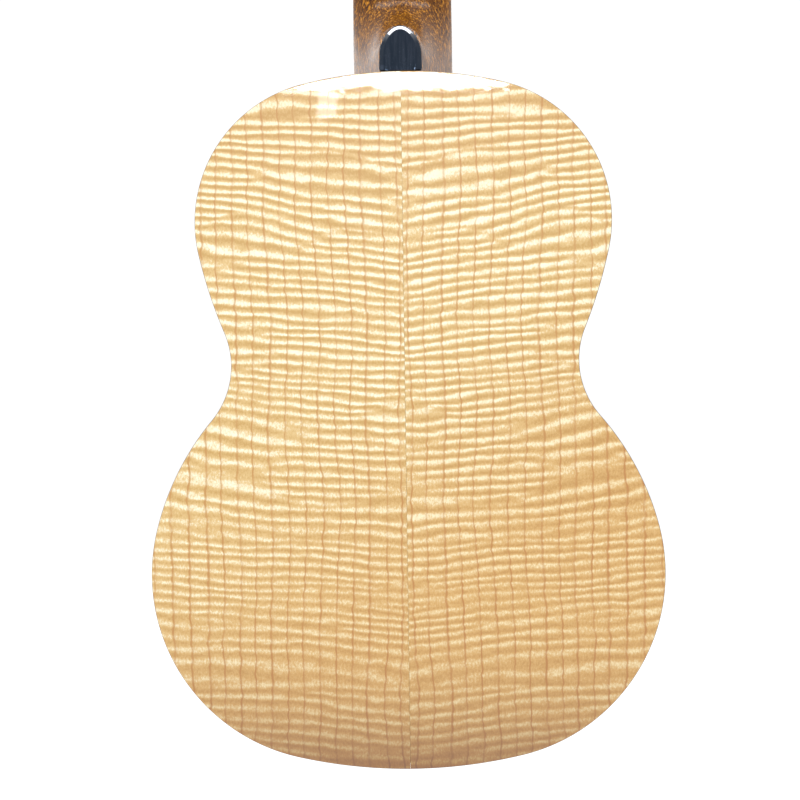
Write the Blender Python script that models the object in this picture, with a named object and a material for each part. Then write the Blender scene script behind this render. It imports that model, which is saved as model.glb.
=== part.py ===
"""Concert ukulele with a bookmatched flamed back, a carved heel and open-gear tuners.

Everything is modelled in the luthier's frame and hangs on one empty, "instrument":
x runs across the body, y from the strings towards the back, z up the neck.
y = 0 is the face of the soundboard and the gluing face of the neck.
z = 0 is the edge of the nut where the scale length starts; the body lies below it.
The empty then moves all of it so that the world origin is where a wall hanger's yoke
holds the headstock.
"""

import math

import bmesh
import bpy
from mathutils import Matrix, Vector

MM = 0.001
GAP = 0.3 * MM  # left between glued or resting pieces

# Driving dimensions
SCALE_LENGTH = 381 * MM
FRETS = 18
BODY_FRET = 14  # the fret at the edge of the body
DEPTH_AT_NECK = 60 * MM
DEPTH_AT_TAIL = 70 * MM
HEAD_ANGLE = math.radians(13)
GEAR_TEETH = 14

# Rim outline: tangent arcs (radius in mm, turn in degrees, segments), from the tail round
# the lower bout, waist and upper bout. The waist turns the other way, so it is negative.
RIM_ARCS = (
    (200, 13.0, 3),
    (75, 91.0, 11),
    (109, 26.5, 4),
    (-34, -63.0, 7),
    (190, 10.0, 2),
    (57, 89.0, 10),
)
NECK_ARC_TURN = 180 - sum(turn for _, turn, _ in RIM_ARCS)
NECK_ARC_SEGMENTS = 3

# Plates, rim and blocks
TOP_THICK = 2.0 * MM
BACK_THICK = 2.0 * MM
SIDE_THICK = 1.8 * MM
LINING_WIDE = 4.5 * MM
LINING_DEEP = 6 * MM
BLOCK_HALF = 22 * MM
NECK_BLOCK_LONG = 24 * MM
TAIL_BLOCK_LONG = 12 * MM
SOUNDHOLE_RADIUS = 27.5 * MM
SOUNDHOLE_BELOW_JOINT = 90 * MM
ROSETTE_INNER = 30.5 * MM
ROSETTE_OUTER = 35 * MM
ROSETTE_THICK = 0.7 * MM

# Neck
NUT_HALF = 17.5 * MM  # neck half width at the nut
JOINT_HALF = 21.5 * MM  # and at the body
SHAFT_THIN = 11 * MM
SHAFT_THICK = 12.5 * MM
HEEL_CAP_THICK = 2 * MM
HEEL_CAP_HALF = 8.4 * MM
HEEL_CAP_LONG = 18.5 * MM
BOLT_DEPTH = 24 * MM  # the neck bolt's distance behind the soundboard's face

# Fingerboard and strings
BOARD_THICK = 4.5 * MM
FRET_TALL = 0.9 * MM
FRET_WIDE = 1.9 * MM
NUT_LONG = 4.5 * MM
STRING_NAMES = ("g", "c", "e", "a")
STRING_RADII = (0.32 * MM, 0.42 * MM, 0.36 * MM, 0.30 * MM)
NUT_SPREAD = 28.5 * MM
SADDLE_SPREAD = 40.5 * MM
STRING_Y_AT_NUT = -6.6 * MM
STRING_Y_AT_SADDLE = -10.3 * MM

# Bridge
BRIDGE_HALF = 37 * MM
BRIDGE_BLOCK_HALF = 28 * MM
BRIDGE_LONG = 21 * MM
BRIDGE_TALL = 7 * MM
WING_TALL = 3 * MM
COMPENSATION = 1.5 * MM
SADDLE_HALF = 23.5 * MM
SADDLE_THICK = 2.2 * MM
SADDLE_FROM_FRONT = 7 * MM  # of the bridge

# Headstock, in its own tilted frame: y from its face towards its back, z up it
HEAD_LONG = 106 * MM
HEAD_THICK = 14 * MM
VENEER_THICK = 1.5 * MM
POST_X = 16 * MM
POST_Z = (30 * MM, 66 * MM)
YOKE_Z = 12 * MM  # height on the head where the yoke's arms carry it

# Tuner
POST_RADIUS = 3.0 * MM
POST_TALL = 9.5 * MM
POST_FOOT_RADIUS = 2.2 * MM
BUSH_HOLE = 3.1 * MM
BUSH_RADIUS = 4.2 * MM
BUSH_FLANGE = 5.4 * MM
PLATE_THICK = 0.8 * MM
GEAR_PITCH_RADIUS = 4.15 * MM
WORM_PITCH_RADIUS = 2.3 * MM
ADDENDUM = 0.5 * MM
DEDENDUM = 0.6 * MM
THREAD_PITCH = 2 * math.pi * GEAR_PITCH_RADIUS / GEAR_TEETH
GEAR_THICK = 2.8 * MM
SHAFT_RADIUS = 1.4 * MM
WORM_BEARING = 1.5 * MM
WORM_TURNS = 4
WORM_STEPS = 10  # per turn
BUTTON_IN = 33 * MM
BUTTON_OUT = 47 * MM


def fret_distance(n):
    return SCALE_LENGTH * (1 - 2 ** (-n / 12))


JOINT_Z = -fret_distance(BODY_FRET)


def rim_arcs(offset):
    """The half rim's arcs at this distance inside the outer face, closed on the axis."""
    arcs = [(r * MM - offset, math.radians(turn), n) for r, turn, n in RIM_ARCS]
    x = heading = 0.0
    for radius, turn, _ in arcs:
        x += radius * (math.sin(heading + turn) - math.sin(heading))
        heading += turn
    last = math.radians(NECK_ARC_TURN)
    return arcs + [(x / math.sin(last), last, NECK_ARC_SEGMENTS)]


def body_length():
    heading = length = 0.0
    for radius, turn, _ in rim_arcs(0):
        length += radius * (math.cos(heading) - math.cos(heading + turn))
        heading += turn
    return length


TAIL_Z = JOINT_Z - body_length()
SADDLE_Z = -SCALE_LENGTH - COMPENSATION
SOUNDHOLE_Z = JOINT_Z - SOUNDHOLE_BELOW_JOINT
TAPER = (DEPTH_AT_TAIL - DEPTH_AT_NECK) / (JOINT_Z - TAIL_Z)


def half_rim(offset=0.0, trim=0.0):
    """(x, z) points of the right half of the rim, from the tail to the neck, this far inside
    the outer face. trim leaves out what lies nearer the axis than that."""
    arcs = rim_arcs(offset)
    x, z, heading = 0.0, TAIL_Z + offset, 0.0
    points = []
    for i, (radius, turn, segments) in enumerate(arcs):
        start = math.asin(trim / radius) if i == 0 else 0.0
        end = turn - (math.asin(trim / radius) if i == len(arcs) - 1 else 0.0)
        for k in range(0 if i == 0 else 1, segments + 1):
            a = heading + start + (end - start) * k / segments
            px = x + radius * (math.sin(a) - math.sin(heading))
            pz = z + radius * (math.cos(heading) - math.cos(a))
            points.append((px, pz))
        x += radius * (math.sin(heading + turn) - math.sin(heading))
        z += radius * (math.cos(heading) - math.cos(heading + turn))
        heading += turn
    return points


def inner_half_width(z, offset):
    """The rim's half width at height z, this far inside the outer face."""
    points = half_rim(offset)
    for (x0, z0), (x1, z1) in zip(points, points[1:]):
        if z0 <= z <= z1:
            return x0 + (x1 - x0) * (z - z0) / (z1 - z0)
    raise ValueError("that height is outside the body")


def back_y(z):
    """The outer face of the back, which tapers towards the neck."""
    return DEPTH_AT_NECK + TAPER * (JOINT_Z - z)


def back_inner_y(z):
    return back_y(z) - BACK_THICK


def neck_half(z):
    """Half width of the neck and fingerboard at height z."""
    return NUT_HALF + (JOINT_HALF - NUT_HALF) * z / JOINT_Z


def material(name, colour, roughness, metallic=0.0, coat=0.0):
    made = bpy.data.materials.new(name)
    made.use_nodes = True
    shader = made.node_tree.nodes["Principled BSDF"]
    shader.inputs["Base Color"].default_value = (*colour, 1)
    shader.inputs["Roughness"].default_value = roughness
    shader.inputs["Metallic"].default_value = metallic
    shader.inputs["Coat Weight"].default_value = coat
    return made


def empty(name, parent=None, location=(0, 0, 0), rotation=(0, 0, 0)):
    made = bpy.data.objects.new(name, None)
    bpy.context.scene.collection.objects.link(made)
    made.parent = parent
    made.location = location
    made.rotation_euler = rotation
    return made


def solid(name, bm, finish, parent, location=(0, 0, 0), rotation=(0, 0, 0)):
    """Makes the bmesh an object with its material, placed under its parent."""
    bmesh.ops.recalc_face_normals(bm, faces=bm.faces)
    mesh = bpy.data.meshes.new(name)
    bm.to_mesh(mesh)
    bm.free()
    mesh.shade_smooth()
    mesh.set_sharp_from_angle(angle=math.radians(35))
    if finish:
        mesh.materials.append(finish)
    made = bpy.data.objects.new(name, mesh)
    bpy.context.scene.collection.objects.link(made)
    made.parent = parent
    made.location = location
    made.rotation_euler = rotation
    return made


def helper(made):
    """Marks a cutter or another shape that only serves a Boolean."""
    made.hide_render = True
    made.display_type = "WIRE"
    return made


def boolean(target, other, operation="DIFFERENCE"):
    modifier = target.modifiers.new(other.name, "BOOLEAN")
    modifier.operation = operation
    modifier.object = other
    return target


def chamfer(target, width):
    modifier = target.modifiers.new("chamfer", "BEVEL")
    modifier.width = width
    modifier.segments = 1
    modifier.limit_method = "ANGLE"
    modifier.angle_limit = math.radians(50)


def slab_mesh(outline, near, far):
    """The (x, z) outline made solid between two faces whose y may depend on z."""
    bm = bmesh.new()
    lower = [bm.verts.new((x, near(z), z)) for x, z in outline]
    upper = [bm.verts.new((x, far(z), z)) for x, z in outline]
    bm.faces.new(lower)
    bm.faces.new(upper)
    bridge(bm, lower, upper)
    return bm


def bridge(bm, ring_a, ring_b):
    """Joins two rings of as many points with faces."""
    n = len(ring_a)
    for i in range(n):
        j = (i + 1) % n
        bm.faces.new((ring_a[i], ring_a[j], ring_b[j], ring_b[i]))


def level(y):
    return lambda z: y


def loft_mesh(rings):
    """A closed solid through rings of points, with flat ends."""
    bm = bmesh.new()
    made = [[bm.verts.new(p) for p in ring] for ring in rings]
    for a, b in zip(made, made[1:]):
        bridge(bm, a, b)
    bm.faces.new(made[0])
    bm.faces.new(made[-1])
    return bm


def box_mesh(low, high):
    bm = bmesh.new()
    bmesh.ops.create_cube(bm, size=1)
    low, high = Vector(low), Vector(high)
    size, centre = high - low, (high + low) / 2
    for v in bm.verts:
        v.co = Vector(v.co[i] * size[i] + centre[i] for i in range(3))
    return bm


def turned_mesh(profile, segments, axis="Y"):
    """Spins (radius, height) points round an axis. The profile is a closed loop, or it
    starts and ends on the axis."""
    along = Vector((0, 1, 0)) if axis == "Y" else Vector((1, 0, 0))
    if axis == "Z":
        along = Vector((0, 0, 1))
    out = Vector((1, 0, 0)) if axis != "X" else Vector((0, 0, 1))
    bm = bmesh.new()
    points = [bm.verts.new(out * r + along * h) for r, h in profile]
    edges = [bm.edges.new(pair) for pair in zip(points, points[1:])]
    if profile[0][0] > 0:
        edges.append(bm.edges.new((points[-1], points[0])))
    bmesh.ops.spin(
        bm,
        geom=points + edges,
        cent=(0, 0, 0),
        axis=along,
        angle=2 * math.pi,
        steps=segments,
        use_merge=True,
    )
    bmesh.ops.remove_doubles(bm, verts=bm.verts, dist=0.005 * MM)
    return bm


def circle(radius, segments, centre=(0, 0), start=0.0, end=2 * math.pi):
    """Points on an arc; a whole circle doesn't repeat its first point."""
    whole = abs(end - start - 2 * math.pi) < 1e-9
    count = segments if whole else segments + 1
    step = (end - start) / segments
    return [
        (
            centre[0] + radius * math.cos(start + step * i),
            centre[1] + radius * math.sin(start + step * i),
        )
        for i in range(count)
    ]


def mirrored(points):
    return [(-x, z) for x, z in reversed(points)]


# ---------------------------------------------------------------- body


def half_plate_outline(hole):
    """The right half of a plate. With a hole, its seam edge goes round half the sound hole."""
    rim = half_rim()
    seam = GAP / 2
    points = [(max(x, seam), z) for x, z in rim]
    if not hole:
        return points
    reach = math.asin(seam / SOUNDHOLE_RADIUS)
    arc = circle(
        SOUNDHOLE_RADIUS,
        16,
        (0, SOUNDHOLE_Z),
        math.pi / 2 - reach,
        -math.pi / 2 + reach,
    )
    return points + arc


def make_plates(root, top_wood, back_wood):
    rosette_cut = helper(
        solid(
            "rosette_channel",
            turned_mesh(
                [
                    (ROSETTE_INNER - GAP / 2, -2 * MM),
                    (ROSETTE_OUTER + GAP / 2, -2 * MM),
                    (ROSETTE_OUTER + GAP / 2, ROSETTE_THICK + GAP),
                    (ROSETTE_INNER - GAP / 2, ROSETTE_THICK + GAP),
                ],
                40,
            ),
            None,
            root,
            (0, 0, SOUNDHOLE_Z),
        )
    )
    for side, turn in (("right", lambda p: p), ("left", mirrored)):
        top = solid(
            f"soundboard_{side}",
            slab_mesh(turn(half_plate_outline(True)), level(0), level(TOP_THICK)),
            top_wood,
            root,
        )
        boolean(top, rosette_cut)
        solid(
            f"back_{side}",
            slab_mesh(turn(half_plate_outline(False)), back_inner_y, back_y),
            back_wood,
            root,
        )


def make_rim(root, side_wood, lining_wood, bolt_hole):
    """Bent sides and the linings that widen their gluing edges."""

    def strip(outer, inner, near, far):
        return slab_mesh(outer + inner[::-1], near, far)

    inside = SIDE_THICK + GAP
    for side, turn in (("right", lambda p: p), ("left", mirrored)):
        outer = [(max(x, GAP / 2), z) for x, z in half_rim(0)]
        inner = [(max(x, GAP / 2), z) for x, z in half_rim(SIDE_THICK)]
        made = solid(
            f"side_{side}",
            strip(
                turn(outer),
                turn(inner),
                level(TOP_THICK + GAP),
                lambda z: back_inner_y(z) - GAP,
            ),
            side_wood,
            root,
        )
        boolean(made, bolt_hole)
        outer = turn(half_rim(inside, BLOCK_HALF + GAP))
        inner = turn(half_rim(inside + LINING_WIDE, BLOCK_HALF + GAP))
        solid(
            f"top_lining_{side}",
            strip(outer, inner, level(TOP_THICK + GAP), level(TOP_THICK + GAP + LINING_DEEP)),
            lining_wood,
            root,
        )
        solid(
            f"back_lining_{side}",
            strip(
                outer,
                inner,
                lambda z: back_inner_y(z) - GAP - LINING_DEEP,
                lambda z: back_inner_y(z) - GAP,
            ),
            lining_wood,
            root,
        )


def make_blocks(root, wood, bolt_hole):
    """Neck block and tail block, fitted to the inside of the rim."""
    inset = SIDE_THICK + GAP
    arcs = rim_arcs(inset)

    def fitted(radius, end_z, towards, long):
        reach = math.asin(BLOCK_HALF / radius)
        centre_z = end_z - towards * radius
        middle = towards * math.pi / 2
        arc = circle(radius, 6, (0, centre_z), middle - reach, middle + reach)
        flat_z = end_z - towards * long
        return arc + [(arc[-1][0], flat_z), (arc[0][0], flat_z)]

    shapes = {
        "neck_block": fitted(arcs[-1][0], JOINT_Z - inset, 1, NECK_BLOCK_LONG),
        "tail_block": fitted(arcs[0][0], TAIL_Z + inset, -1, TAIL_BLOCK_LONG),
    }
    for name, outline in shapes.items():
        bm = slab_mesh(outline, level(TOP_THICK + GAP), lambda z: back_inner_y(z) - GAP)
        made = solid(name, bm, wood, root)
        if name == "neck_block":
            boolean(made, bolt_hole)


def brace_mesh(half_long, wide, tall, end_tall, notch_half=0.0, notch_deep=0.0):
    """A bar along x on the plane y = 0, rising to y = tall, scooped down at both ends.
    A notch under its middle clears a strip."""
    scoop = min(18 * MM, half_long * 0.4)
    upper = [
        (half_long, end_tall),
        (half_long - scoop * 0.5, end_tall * 1.25),
        (half_long - scoop, tall),
    ]
    side = [(half_long, 0)] + upper + [(-x, h) for x, h in reversed(upper)] + [(-half_long, 0)]
    if notch_half:
        side += [
            (-notch_half, 0),
            (-notch_half, notch_deep),
            (notch_half, notch_deep),
            (notch_half, 0),
        ]
    bm = bmesh.new()
    rings = [[bm.verts.new((x, h, z)) for x, h in side] for z in (-wide / 2, wide / 2)]
    bridge(bm, *rings)
    bm.faces.new(rings[0])
    bm.faces.new(rings[1])
    return bm


def brace_half_long(z, wide):
    """Half the free width between the linings at a brace."""
    clear = SIDE_THICK + LINING_WIDE + 3 * GAP
    return min(inner_half_width(z + s * wide / 2, clear) for s in (-1, 1))


def make_back_braces(root, wood):
    strip_half, strip_thick = 6 * MM, 1.5 * MM
    tilt = math.atan(TAPER)
    wide, tall = 6 * MM, 8 * MM
    for name, z in (("upper", -282 * MM), ("middle", -352 * MM), ("lower", -424 * MM)):
        bm = brace_mesh(
            brace_half_long(z, wide + 1 * MM),
            wide,
            tall,
            2.5 * MM,
            strip_half + GAP,
            strip_thick + 2 * GAP,
        )
        solid(
            f"back_brace_{name}",
            bm,
            wood,
            root,
            (0, back_inner_y(z) - GAP - wide * TAPER / 2, z),
            (math.pi - tilt, 0, 0),
        )
    low = TAIL_Z + SIDE_THICK + TAIL_BLOCK_LONG + 3 * GAP
    high = JOINT_Z - SIDE_THICK - NECK_BLOCK_LONG - 3 * GAP
    outline = [(-strip_half, low), (strip_half, low), (strip_half, high), (-strip_half, high)]
    bm = slab_mesh(
        outline,
        lambda z: back_inner_y(z) - GAP - strip_thick,
        lambda z: back_inner_y(z) - GAP,
    )
    solid("back_seam_strip", bm, wood, root)


def make_top_braces(root, wood, plate_wood):
    wide, tall = 5.5 * MM, 7 * MM
    base = TOP_THICK + GAP
    bars = {
        "top_brace_upper": SOUNDHOLE_Z + 44 * MM,
        "top_brace_lower": SOUNDHOLE_Z - 36 * MM,
    }
    for name, z in bars.items():
        bm = brace_mesh(brace_half_long(z, wide), wide, tall, 2.5 * MM)
        solid(name, bm, wood, root, (0, base, z))
    plate_half, plate_thick = 44 * MM, 1.6 * MM
    low, high = SADDLE_Z - 17 * MM, SADDLE_Z + 9 * MM
    solid(
        "bridge_plate",
        box_mesh((-plate_half, base, low), (plate_half, base + plate_thick, high)),
        plate_wood,
        root,
    )
    clear = helper(
        solid(
            "bridge_plate_clearance",
            box_mesh(
                (-plate_half - GAP, base - 1 * MM, low - GAP),
                (plate_half + GAP, base + plate_thick + GAP, high + GAP),
            ),
            None,
            root,
        )
    )
    fan_top = bars["top_brace_lower"] - wide / 2 - 1 * MM
    fan_long = 104 * MM
    for name, x, splay in (("left", -24, -9), ("centre", 0, 0), ("right", 24, 9)):
        angle = math.radians(splay)
        run = Vector((math.sin(angle), 0, -math.cos(angle)))
        middle = Vector((x * MM, base, fan_top)) + run * (fan_long / 2 + 1 * MM)
        bm = brace_mesh(fan_long / 2, 4 * MM, 4.5 * MM, 1.5 * MM)
        made = solid(
            f"fan_brace_{name}",
            bm,
            wood,
            root,
            middle,
            (0, math.pi / 2 + angle * -1, 0),
        )
        boolean(made, clear)


def make_rosette(root, finish):
    bm = turned_mesh(
        [
            (ROSETTE_INNER, 0),
            (ROSETTE_OUTER, 0),
            (ROSETTE_OUTER, ROSETTE_THICK),
            (ROSETTE_INNER, ROSETTE_THICK),
        ],
        40,
    )
    solid("rosette", bm, finish, root, (0, 0.05 * MM, SOUNDHOLE_Z))


# ---------------------------------------------------------------- neck


def shaft_ring(z, half, deep, squareness=2.2, points=14):
    """The neck's section: flat on top, rounded behind, squarer near the headstock. Its top
    corners are the first and last points."""
    ring = []
    for i in range(points + 1):
        a = math.pi * i / points
        c, s = math.cos(a), math.sin(a)
        x = half * math.copysign(abs(c) ** (2 / squareness), c)
        ring.append((x, deep * s ** (1.8 / squareness), z))
    return ring


def heel_ring(y, half, long):
    """A level slice of the heel: straight across the joint, rounded at its tip."""
    tip = [
        (half * math.cos(a) ** 0.75, long * math.sin(a) ** 0.85)
        for a in (math.radians(18 * i) for i in range(5))
    ]
    outline = [(x, JOINT_Z - 2 * MM + s + 2 * MM) for x, s in tip]
    outline += [(0, JOINT_Z + long)] + [(-x, z) for x, z in reversed(outline)]
    outline += [(-half, JOINT_Z - 4 * MM), (half, JOINT_Z - 4 * MM)]
    return [(x, y, z) for x, z in outline]


def cap_plane(z):
    """The heel's end, under its cap."""
    return back_y(z) - HEEL_CAP_THICK - GAP


def heel_mesh():
    """Slices from inside the shaft out to the cap: (depth, half width, length) in mm."""
    slices = (
        (4, 20.5, 50),
        (9, 19.8, 44),
        (14, 16.6, 36),
        (21, 13.2, 29),
        (30, 10.7, 23.5),
        (42, 9.1, 20),
        (52, 8.5, 18.8),
    )
    rings = [heel_ring(y * MM, half * MM, long * MM) for y, half, long in slices]
    last = heel_ring(0, HEEL_CAP_HALF, HEEL_CAP_LONG)
    rings.append([(x, cap_plane(z), z) for x, _, z in last])
    return loft_mesh(rings)


def head_outline():
    """Half outline of the headstock, (x, z) in mm in its own frame, nut end first: the
    cheeks where a yoke's arms sit, nearly straight sides, and a low arched tip."""
    cheek = [(17.3, 0), (17.5, 4), (18.8, 8), (21.4, 11.8), (24.8, 15.2), (27.2, 19)]
    side = [(28.3, 24), (29.3, 40), (30.6, 66), (31.4, 84), (31.4, 89), (30.2, 93), (27.6, 96)]
    tip = [(24, 97.4), (19, 97.8), (14.5, 99), (10, 101.6), (6, 104.2), (3, 105.5)]
    half = [(x * MM, z * MM) for x, z in cheek + side + tip]
    return half + [(0, HEAD_LONG)] + [(-x, z) for x, z in reversed(half)]


def make_neck(root, head, wood, body_clearance, bolt_pocket, tuner_holes):
    stations = (
        (JOINT_Z - 3 * MM, SHAFT_THICK, 2.2),
        (JOINT_Z + 60 * MM, SHAFT_THICK, 2.2),
        (-60 * MM, SHAFT_THIN, 2.2),
        (-30 * MM, SHAFT_THIN, 2.2),
        (-19 * MM, SHAFT_THIN + 0.2 * MM, 2.5),
        (-10 * MM, SHAFT_THIN + 0.9 * MM, 3.6),
        (-4 * MM, SHAFT_THIN + 1.6 * MM, 6),
        (0.5 * MM, SHAFT_THIN + 2.2 * MM, 14),
        (4.2 * MM, SHAFT_THIN + 2.6 * MM, 14),
    )
    rings = [shaft_ring(z, neck_half(min(z, 0)), deep, n) for z, deep, n in stations]
    neck = solid("neck", loft_mesh(rings), wood, root)
    heel = helper(solid("heel_shape", heel_mesh(), None, root))
    back_face = VENEER_THICK + GAP
    grip = [(x, z - 0.5 * MM) if z == 0 else (x, z) for x, z in head_outline()]
    head_shape = helper(
        solid(
            "head_shape",
            slab_mesh(grip, level(back_face), level(HEAD_THICK)),
            None,
            head,
        )
    )
    boolean(neck, heel, "UNION")
    boolean(neck, head_shape, "UNION")
    boolean(neck, body_clearance)
    boolean(neck, bolt_pocket)
    for hole in tuner_holes:
        boolean(neck, hole)


def make_head_veneer(head, wood, tuner_holes):
    outline = [(x, max(z, GAP)) for x, z in head_outline()]
    veneer = solid("head_veneer", slab_mesh(outline, level(0), level(VENEER_THICK)), wood, head)
    for hole in tuner_holes:
        boolean(veneer, hole)


def make_heel_cap(root, wood, body_clearance):
    ring = heel_ring(0, HEEL_CAP_HALF, HEEL_CAP_LONG)
    outline = [(x, z) for x, _, z in ring]
    bm = slab_mesh(outline, lambda z: back_y(z) - HEEL_CAP_THICK, back_y)
    boolean(solid("heel_cap", bm, wood, root), body_clearance)


def make_fingerboard(root, wood):
    """Board and frets in one solid: the frets are ridges pressed across its face."""
    top = -GAP - BOARD_THICK
    end = -fret_distance(FRETS) - 4 * MM
    profile = [(-GAP, -GAP), (-GAP, top)]
    for n in range(1, FRETS + 1):
        z = -fret_distance(n)
        crown = top - FRET_TALL
        profile += [
            (z + FRET_WIDE / 2, top),
            (z + FRET_WIDE / 4, crown),
            (z - FRET_WIDE / 4, crown),
            (z - FRET_WIDE / 2, top),
        ]
    profile += [(end, top), (end, -GAP)]
    rings = [[(s * neck_half(z), y, z) for z, y in profile] for s in (-1, 1)]
    solid("fingerboard", loft_mesh(rings), wood, root)


def string_x(i, spread):
    return (i - 1.5) * spread / 3


def make_nut(root, bone):
    half = NUT_HALF - 0.1 * MM
    section = [(0, -GAP), (NUT_LONG, -GAP), (NUT_LONG, -5.8 * MM), (0.8 * MM, -7.4 * MM), (0, -7.4 * MM)]
    rings = [[(x, y, z) for z, y in section] for x in (-half, half)]
    nut = solid("nut", loft_mesh(rings), bone, root)
    for i, radius in enumerate(STRING_RADII):
        x = string_x(i, NUT_SPREAD)
        wide = radius + 0.2 * MM
        bottom = STRING_Y_AT_NUT + radius + 0.15 * MM
        section = [
            (x - wide, -9 * MM),
            (x + wide, -9 * MM),
            (x + wide, bottom),
            (x - wide, bottom),
        ]
        drop = 1.1 * MM  # the slot's floor falls towards the headstock
        rings = [
            [(px, y, -1 * MM) for px, y in section],
            [(px, y + (drop if y == bottom else 0), NUT_LONG + 1 * MM) for px, y in section],
        ]
        boolean(nut, helper(solid(f"nut_slot_{i + 1}", loft_mesh(rings), None, root)))


def make_neck_bolt(root, steel, brass):
    """The bolt that pulls the heel against the neck block, and its insert in the heel."""
    inside = JOINT_Z - SIDE_THICK - GAP - NECK_BLOCK_LONG
    tip = JOINT_Z + 13 * MM
    bolt = turned_mesh(
        [
            (0, inside - 4.5 * MM),
            (5 * MM, inside - 4.5 * MM),
            (5 * MM, inside - GAP),
            (3 * MM, inside - GAP),
            (3 * MM, tip),
            (0, tip),
        ],
        16,
        "Z",
    )
    made = solid("neck_bolt", bolt, steel, root, (0, BOLT_DEPTH, 0))
    socket = turned_mesh(
        [(0, inside - 6 * MM), (2.3 * MM, inside - 6 * MM), (2.3 * MM, inside - 2 * MM), (0, inside - 2 * MM)],
        6,
        "Z",
    )
    boolean(made, helper(solid("bolt_socket", socket, None, root, (0, BOLT_DEPTH, 0))))
    start = JOINT_Z + 1.5 * MM
    insert = turned_mesh(
        [
            (3.3 * MM, start),
            (4.6 * MM, start),
            (4.6 * MM, start + 13 * MM),
            (3.3 * MM, start + 13 * MM),
        ],
        16,
        "Z",
    )
    solid("neck_insert", insert, brass, root, (0, BOLT_DEPTH, 0))


# ---------------------------------------------------------------- bridge and strings


def make_bridge(root, wood, bone):
    front = SADDLE_Z + SADDLE_FROM_FRONT
    rear = front - BRIDGE_LONG
    half = [
        (BRIDGE_HALF, -GAP),
        (BRIDGE_HALF, -WING_TALL + 0.8 * MM),
        (BRIDGE_HALF - 1.2 * MM, -WING_TALL),
        (BRIDGE_BLOCK_HALF + 3.2 * MM, -WING_TALL),
        (BRIDGE_BLOCK_HALF + 0.8 * MM, -WING_TALL - 1.4 * MM),
        (BRIDGE_BLOCK_HALF, -BRIDGE_TALL + 1 * MM),
        (BRIDGE_BLOCK_HALF - 1.4 * MM, -BRIDGE_TALL),
    ]
    section = half + [(-x, y) for x, y in reversed(half)]
    rings = [[(x, y, z) for x, y in section] for z in (rear, front)]
    bridge_body = solid("bridge", loft_mesh(rings), wood, root)
    slot_deep = 4.4 * MM
    slot = box_mesh(
        (
            -SADDLE_HALF - GAP,
            -BRIDGE_TALL - 1 * MM,
            SADDLE_Z - SADDLE_THICK / 2 - GAP,
        ),
        (
            SADDLE_HALF + GAP,
            -BRIDGE_TALL + slot_deep,
            SADDLE_Z + SADDLE_THICK / 2 + GAP,
        ),
    )
    boolean(bridge_body, helper(solid("saddle_slot", slot, None, root)))
    for i, radius in enumerate(STRING_RADII):
        x = string_x(i, SADDLE_SPREAD)
        name = f"string_slot_{i + 1}"
        wide = radius + 0.25 * MM
        slit = box_mesh((x - wide, -9 * MM, rear - 1 * MM), (x + wide, -2.4 * MM, rear + 6 * MM))
        boolean(bridge_body, helper(solid(name, slit, None, root)))
        pocket = turned_mesh([(0, -1 * MM), (1.75 * MM, -1 * MM), (1.75 * MM, 6 * MM), (0, 6 * MM)], 10, "Z")
        where = (x, -2.6 * MM, rear)
        boolean(bridge_body, helper(solid(f"knot_pocket_{i + 1}", pocket, None, root, where)))
    foot = -BRIDGE_TALL + slot_deep - GAP
    crown = STRING_Y_AT_SADDLE + 0.55 * MM
    h = SADDLE_THICK / 2
    section = [
        (SADDLE_Z - h, foot),
        (SADDLE_Z + h, foot),
        (SADDLE_Z + h, crown + 0.7 * MM),
        (SADDLE_Z + 0.4 * h, crown),
        (SADDLE_Z - 0.4 * h, crown),
        (SADDLE_Z - h, crown + 0.7 * MM),
    ]
    rings = [[(x, y, z) for z, y in section] for x in (-SADDLE_HALF, SADDLE_HALF)]
    solid("saddle", loft_mesh(rings), bone, root)


def head_matrix():
    """From the headstock's frame to the instrument's."""
    where = Vector((0, -0.5 * MM, NUT_LONG))
    return Matrix.Translation(where) @ Matrix.Rotation(-HEAD_ANGLE, 4, "X")


def string_route(i):
    """(point, thickness factor) along a string: knot, slot, over the saddle and nut, and
    round its post. The outer strings take the lower posts."""
    radius = STRING_RADII[i]
    x = string_x(i, SADDLE_SPREAD)
    rear = SADDLE_Z + SADDLE_FROM_FRONT - BRIDGE_LONG
    knot_z = rear + 2.6 * MM
    over_bridge = -BRIDGE_TALL - radius - 0.25 * MM
    knot = 1.25 * MM / radius
    route = [
        ((x, -1.5 * MM, knot_z), 0.6 * knot),
        ((x, -2.1 * MM, knot_z), knot),
        ((x, -3.0 * MM, knot_z), knot),
        ((x, -3.6 * MM, knot_z), 1),
        ((x, over_bridge + 1.0 * MM, knot_z + 0.1 * MM), 1),
        ((x, over_bridge + 0.2 * MM, knot_z + 0.5 * MM), 1),
        ((x, over_bridge, knot_z + 1.3 * MM), 1),
        ((x, over_bridge - 0.3 * MM, knot_z + 3.5 * MM), 1),
        ((x, STRING_Y_AT_SADDLE + 0.25 * MM, SADDLE_Z - 1.2 * MM), 1),
        ((x, STRING_Y_AT_SADDLE, SADDLE_Z), 1),
    ]
    x = string_x(i, NUT_SPREAD)
    route.append(((x, STRING_Y_AT_NUT, 0.6 * MM), 1))
    route.append(((x, STRING_Y_AT_NUT + 0.25 * MM, 2.2 * MM), 1))
    side = -1 if i < 2 else 1
    post_z = POST_Z[0] if i in (0, 3) else POST_Z[1]
    winding = POST_RADIUS + radius + 0.35 * MM
    turns, per_turn = 2.5, 12
    pitch = 2 * radius + 0.25 * MM
    low = -2.9 * MM  # height of the first turn over the headstock's face
    frame = head_matrix()
    for k in range(int(turns * per_turn) + 1):
        a = 2 * math.pi * k / per_turn
        local = Vector(
            (
                side * (POST_X - winding * math.cos(a)),
                low - pitch * k / per_turn,
                post_z + winding * math.sin(a),
            )
        )
        route.append((frame @ local, 1))
    return route


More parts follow.
